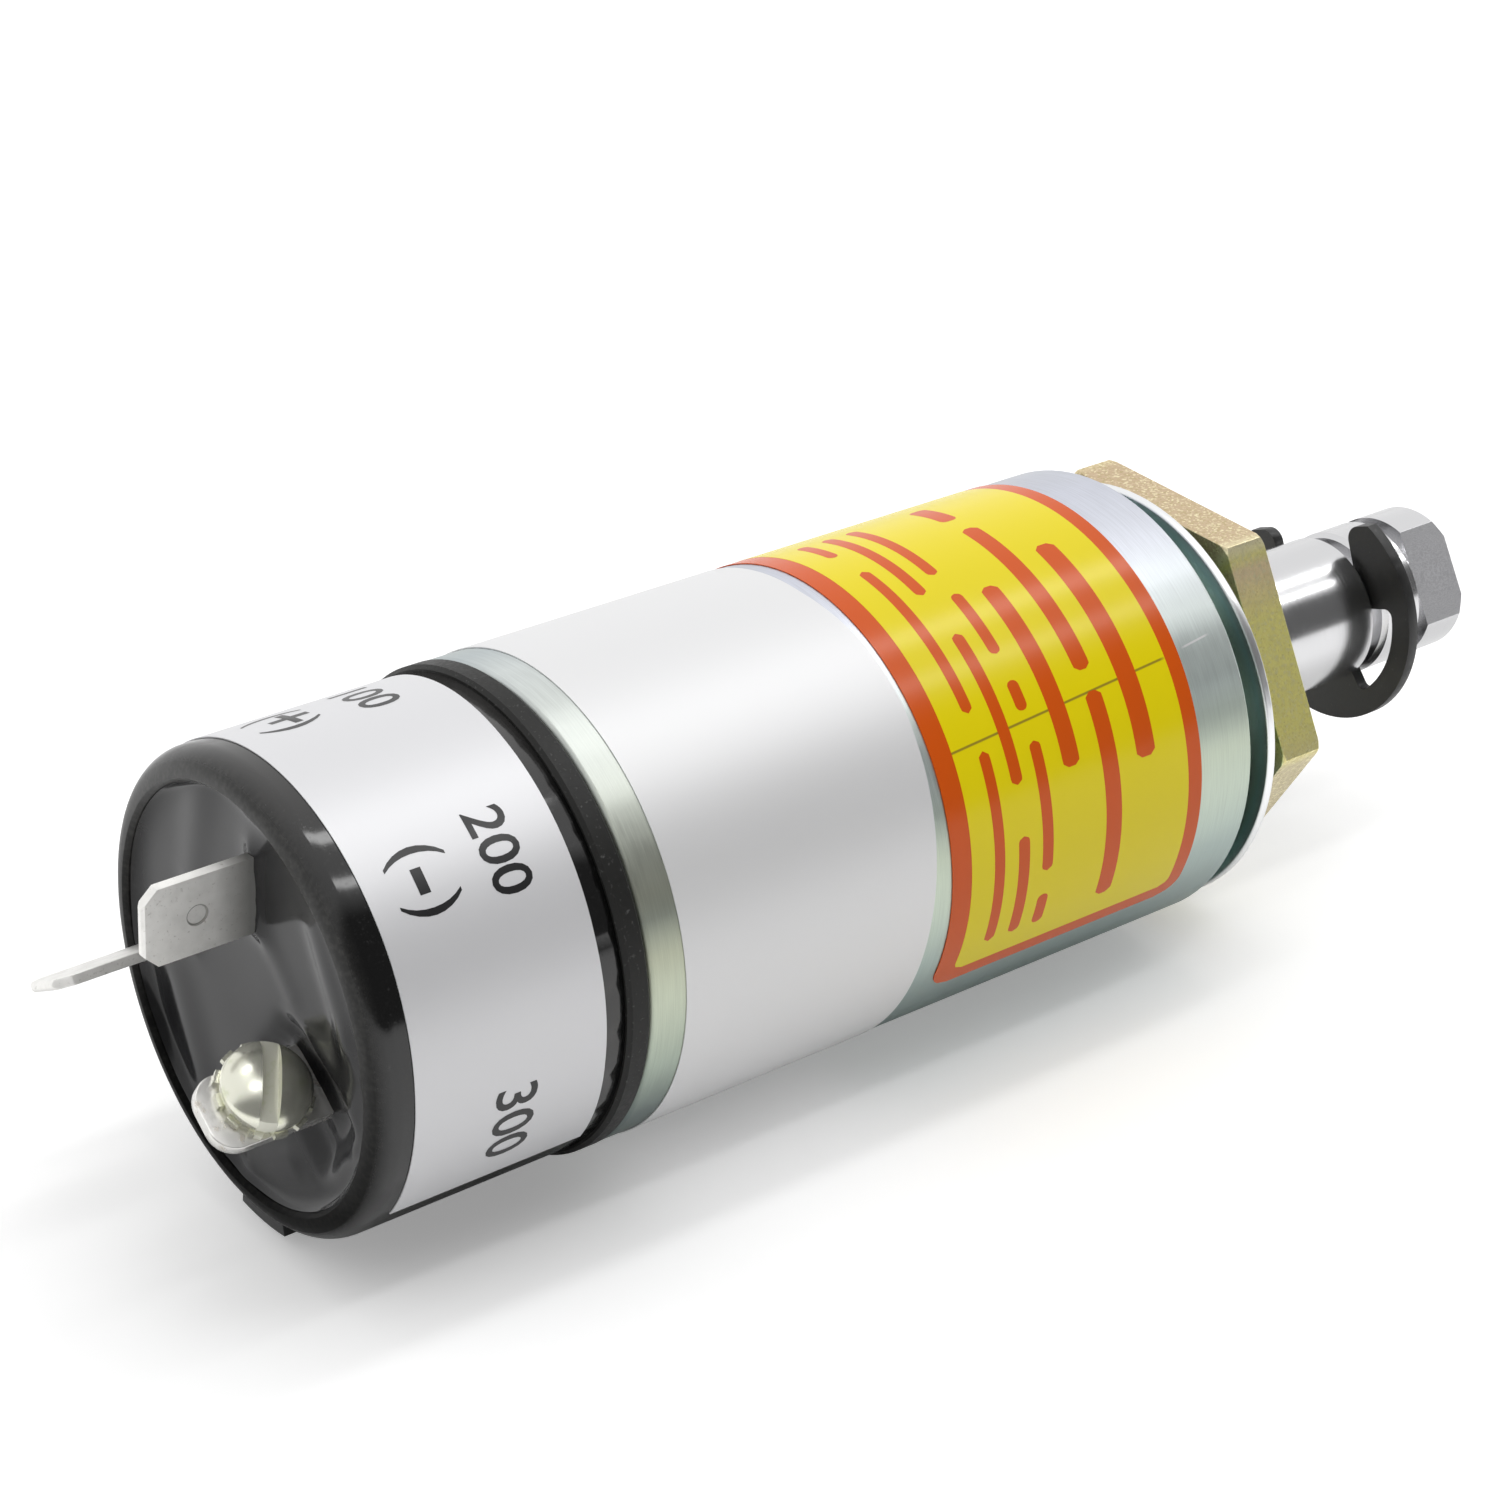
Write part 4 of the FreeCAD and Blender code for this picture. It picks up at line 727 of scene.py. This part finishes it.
screw_outline = [(0.0, 0.0), (0.0, 3.2), (0.15, 3.36), (0.45, 3.4), (0.8, 3.34), (1.1, 3.16), (1.36, 2.88),
                 (1.6, 2.45), (1.8, 1.9), (1.93, 1.3), (2.0, 0.65), (2.02, 0.0)]
head_steps = 96
points, faces = [], []
for i in range(head_steps):
    for height, radius in screw_outline:
        points.append(screw_ring(height, radius, 2 * math.pi * i / head_steps))
count = len(screw_outline)
for i in range(head_steps):
    here, after = i * count, ((i + 1) % head_steps) * count
    for j in range(count - 1):
        faces.append((here + j, here + j + 1, after + j + 1, after + j))

shank_length, shank_radius, shank_depth, screw_pitch = 5.6, 1.74, 0.34, 0.79
shank_rows, shank_steps = 90, 40
start = len(points)
for i in range(shank_rows + 1):
    height = -shank_length * i / shank_rows
    for j in range(shank_steps):
        phase = (height / screw_pitch - j / shank_steps) % 1.0
        radius = shank_radius - shank_depth * abs(phase - 0.5) * 2.0
        points.append(screw_ring(height, radius, 2 * math.pi * j / shank_steps))
for i in range(shank_rows):
    for j in range(shank_steps):
        k = (j + 1) % shank_steps
        a, b = start + i * shank_steps, start + (i + 1) * shank_steps
        faces.append((a + j, a + k, b + k, b + j))
faces.append(tuple(start + shank_rows * shank_steps + j for j in range(shank_steps)))
faces.append(tuple(start + j for j in reversed(range(shank_steps))))
round_screw = make_object("round_screw", points, faces, screw_zinc, 40.0)
work = bmesh.new()
work.from_mesh(round_screw.data)
bmesh.ops.remove_doubles(work, verts=work.verts, dist=0.01 * MM)
bmesh.ops.recalc_face_normals(work, faces=work.faces)
work.to_mesh(round_screw.data)
work.free()

# The slot is cut out of the head with a block that is then removed again.
slot_half_width, slot_half_length, slot_floor, slot_top = 0.68, 4.2, 1.15, 3.5
heading = math.radians(-118.0)
corners = []
for height in (slot_floor, slot_top):
    for length_sign, width_sign in ((-1, -1), (1, -1), (1, 1), (-1, 1)):
        along, across = length_sign * slot_half_length, width_sign * slot_half_width
        corners.append(screw_point(along * math.cos(heading) - across * math.sin(heading),
                                   along * math.sin(heading) + across * math.cos(heading), height))
slot_mesh = bpy.data.meshes.new("slot_block")
slot_mesh.from_pydata([tuple(corner) for corner in corners], [],
                      [(0, 3, 2, 1), (4, 5, 6, 7), (0, 1, 5, 4), (1, 2, 6, 5), (2, 3, 7, 6), (3, 0, 4, 7)])
slot_block = bpy.data.objects.new("slot_block", slot_mesh)
bpy.context.scene.collection.objects.link(slot_block)
slot = round_screw.modifiers.new("slot", "BOOLEAN")
slot.operation = "DIFFERENCE"
slot.object = slot_block
bpy.context.view_layer.update()
carved = bpy.data.meshes.new_from_object(round_screw.evaluated_get(bpy.context.evaluated_depsgraph_get()))
round_screw.modifiers.clear()
round_screw.data = carved
bpy.data.objects.remove(slot_block)
carved.shade_smooth()
carved.set_sharp_from_angle(angle=math.radians(35.0))
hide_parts("auxiliary_screw")


# Studio: a pale floor, white surroundings that are dim toward the front, two strip lamps, and the camera.
white = (1.0, 1.0, 1.0, 1.0)
floor_level = -20.3
floor_reach = 6000.0
floor_mesh = bpy.data.meshes.new("floor")
floor_corners = [Vector((sx * floor_reach, sy * floor_reach, floor_level)) * MM
                 for sx, sy in ((-1, -1), (1, -1), (1, 1), (-1, 1))]
floor_mesh.from_pydata([tuple(corner) for corner in floor_corners], [], [(0, 1, 2, 3)])
floor = bpy.data.objects.new("floor", floor_mesh)
bpy.context.scene.collection.objects.link(floor)

# In reflections the floor is as pale as the background, apart from a strip beside the part where its glow
# is left out as painted shade.
floor_material, tree, shader = paint("pale_floor", (0.90, 0.90, 0.90), 0.7, Emission_Color=white)
floor_glow, mirrored_glow = 0.28, 0.26
ray = add(tree, "ShaderNodeLightPath")
spot, x, y, z = place(tree)
mirrored = calc(tree, "MAXIMUM", remap(tree, y, -12.0, -34.0, 0.0, mirrored_glow),
                remap(tree, x, -94.0, -112.0, 0.0, mirrored_glow))
mirrored = calc(tree, "MULTIPLY", ray.outputs["Is Glossy Ray"], mirrored)
join(tree, shader,
     Emission_Strength=calc(tree, "MULTIPLY_ADD", ray.outputs["Is Camera Ray"], floor_glow, mirrored))
floor_mesh.materials.append(floor_material)

world = bpy.data.worlds.new("studio")
bpy.context.scene.world = world
world.use_nodes = True
tree = world.node_tree
tree.nodes.clear()
direction = add(tree, "ShaderNodeSeparateXYZ", {0: add(tree, "ShaderNodeTexCoord").outputs["Generated"]})
around = calc(tree, "ARCTAN2", direction.outputs[2], direction.outputs[1])
dim = remap(tree, around, math.radians(118.0), math.radians(130.0), 1.0, 0.14)
room = add(tree, "ShaderNodeBackground", {"Strength": dim, "Color": white})
backdrop = add(tree, "ShaderNodeBackground", {"Strength": 1.0, "Color": white})
seen = add(tree, "ShaderNodeLightPath").outputs["Is Camera Ray"]
mixed = add(tree, "ShaderNodeMixShader", {0: seen, 1: room.outputs[0], 2: backdrop.outputs[0]})
add(tree, "ShaderNodeOutputWorld", {0: mixed.outputs[0]})


def soft_box(name, direction, width, radiance):
    """A long lamp, in metres, that lies along the part and faces its middle."""
    length, distance = 0.95, 0.9
    middle, long_axis = Vector((-0.03, 0.0, 0.0)), Vector((1.0, 0.0, 0.0))
    lamp = bpy.data.lights.new(name, "AREA")
    lamp.shape = "RECTANGLE"
    lamp.size = width
    lamp.size_y = length
    lamp.energy = radiance * math.pi * width * length
    holder = bpy.data.objects.new(name, lamp)
    back = Vector(direction).normalized()
    side = long_axis.cross(back).normalized()
    turn = Matrix((side, back.cross(side), back)).transposed().to_4x4()
    holder.matrix_world = Matrix.Translation(middle + back * distance) @ turn
    holder.visible_camera = False
    bpy.context.scene.collection.objects.link(holder)


soft_box("strip_above", (0.34, -0.03, 0.92), 0.09, 5.5)
soft_box("strip_front", (0.34, -0.40, 0.85), 0.07, 5.3)

camera_spot = Vector((-191.33, -199.55, 132.80)) * MM
forward = Vector((0.549, 0.7049, -0.4492)).normalized()
camera_data = bpy.data.cameras.new("camera")
camera_data.sensor_width = 36.0
camera_data.lens = 87.86
camera_data.clip_start = 0.01
camera_data.clip_end = 50.0
camera = bpy.data.objects.new("camera", camera_data)
bpy.context.scene.collection.objects.link(camera)
right = forward.cross(Vector((0.0, 0.0, 1.0))).normalized()
turn = Matrix((right, right.cross(forward), -forward)).transposed().to_4x4()
camera.matrix_world = Matrix.Translation(camera_spot) @ turn
bpy.context.scene.camera = camera
bpy.context.scene.view_settings.view_transform = "Standard"

bpy.context.view_layer.update()
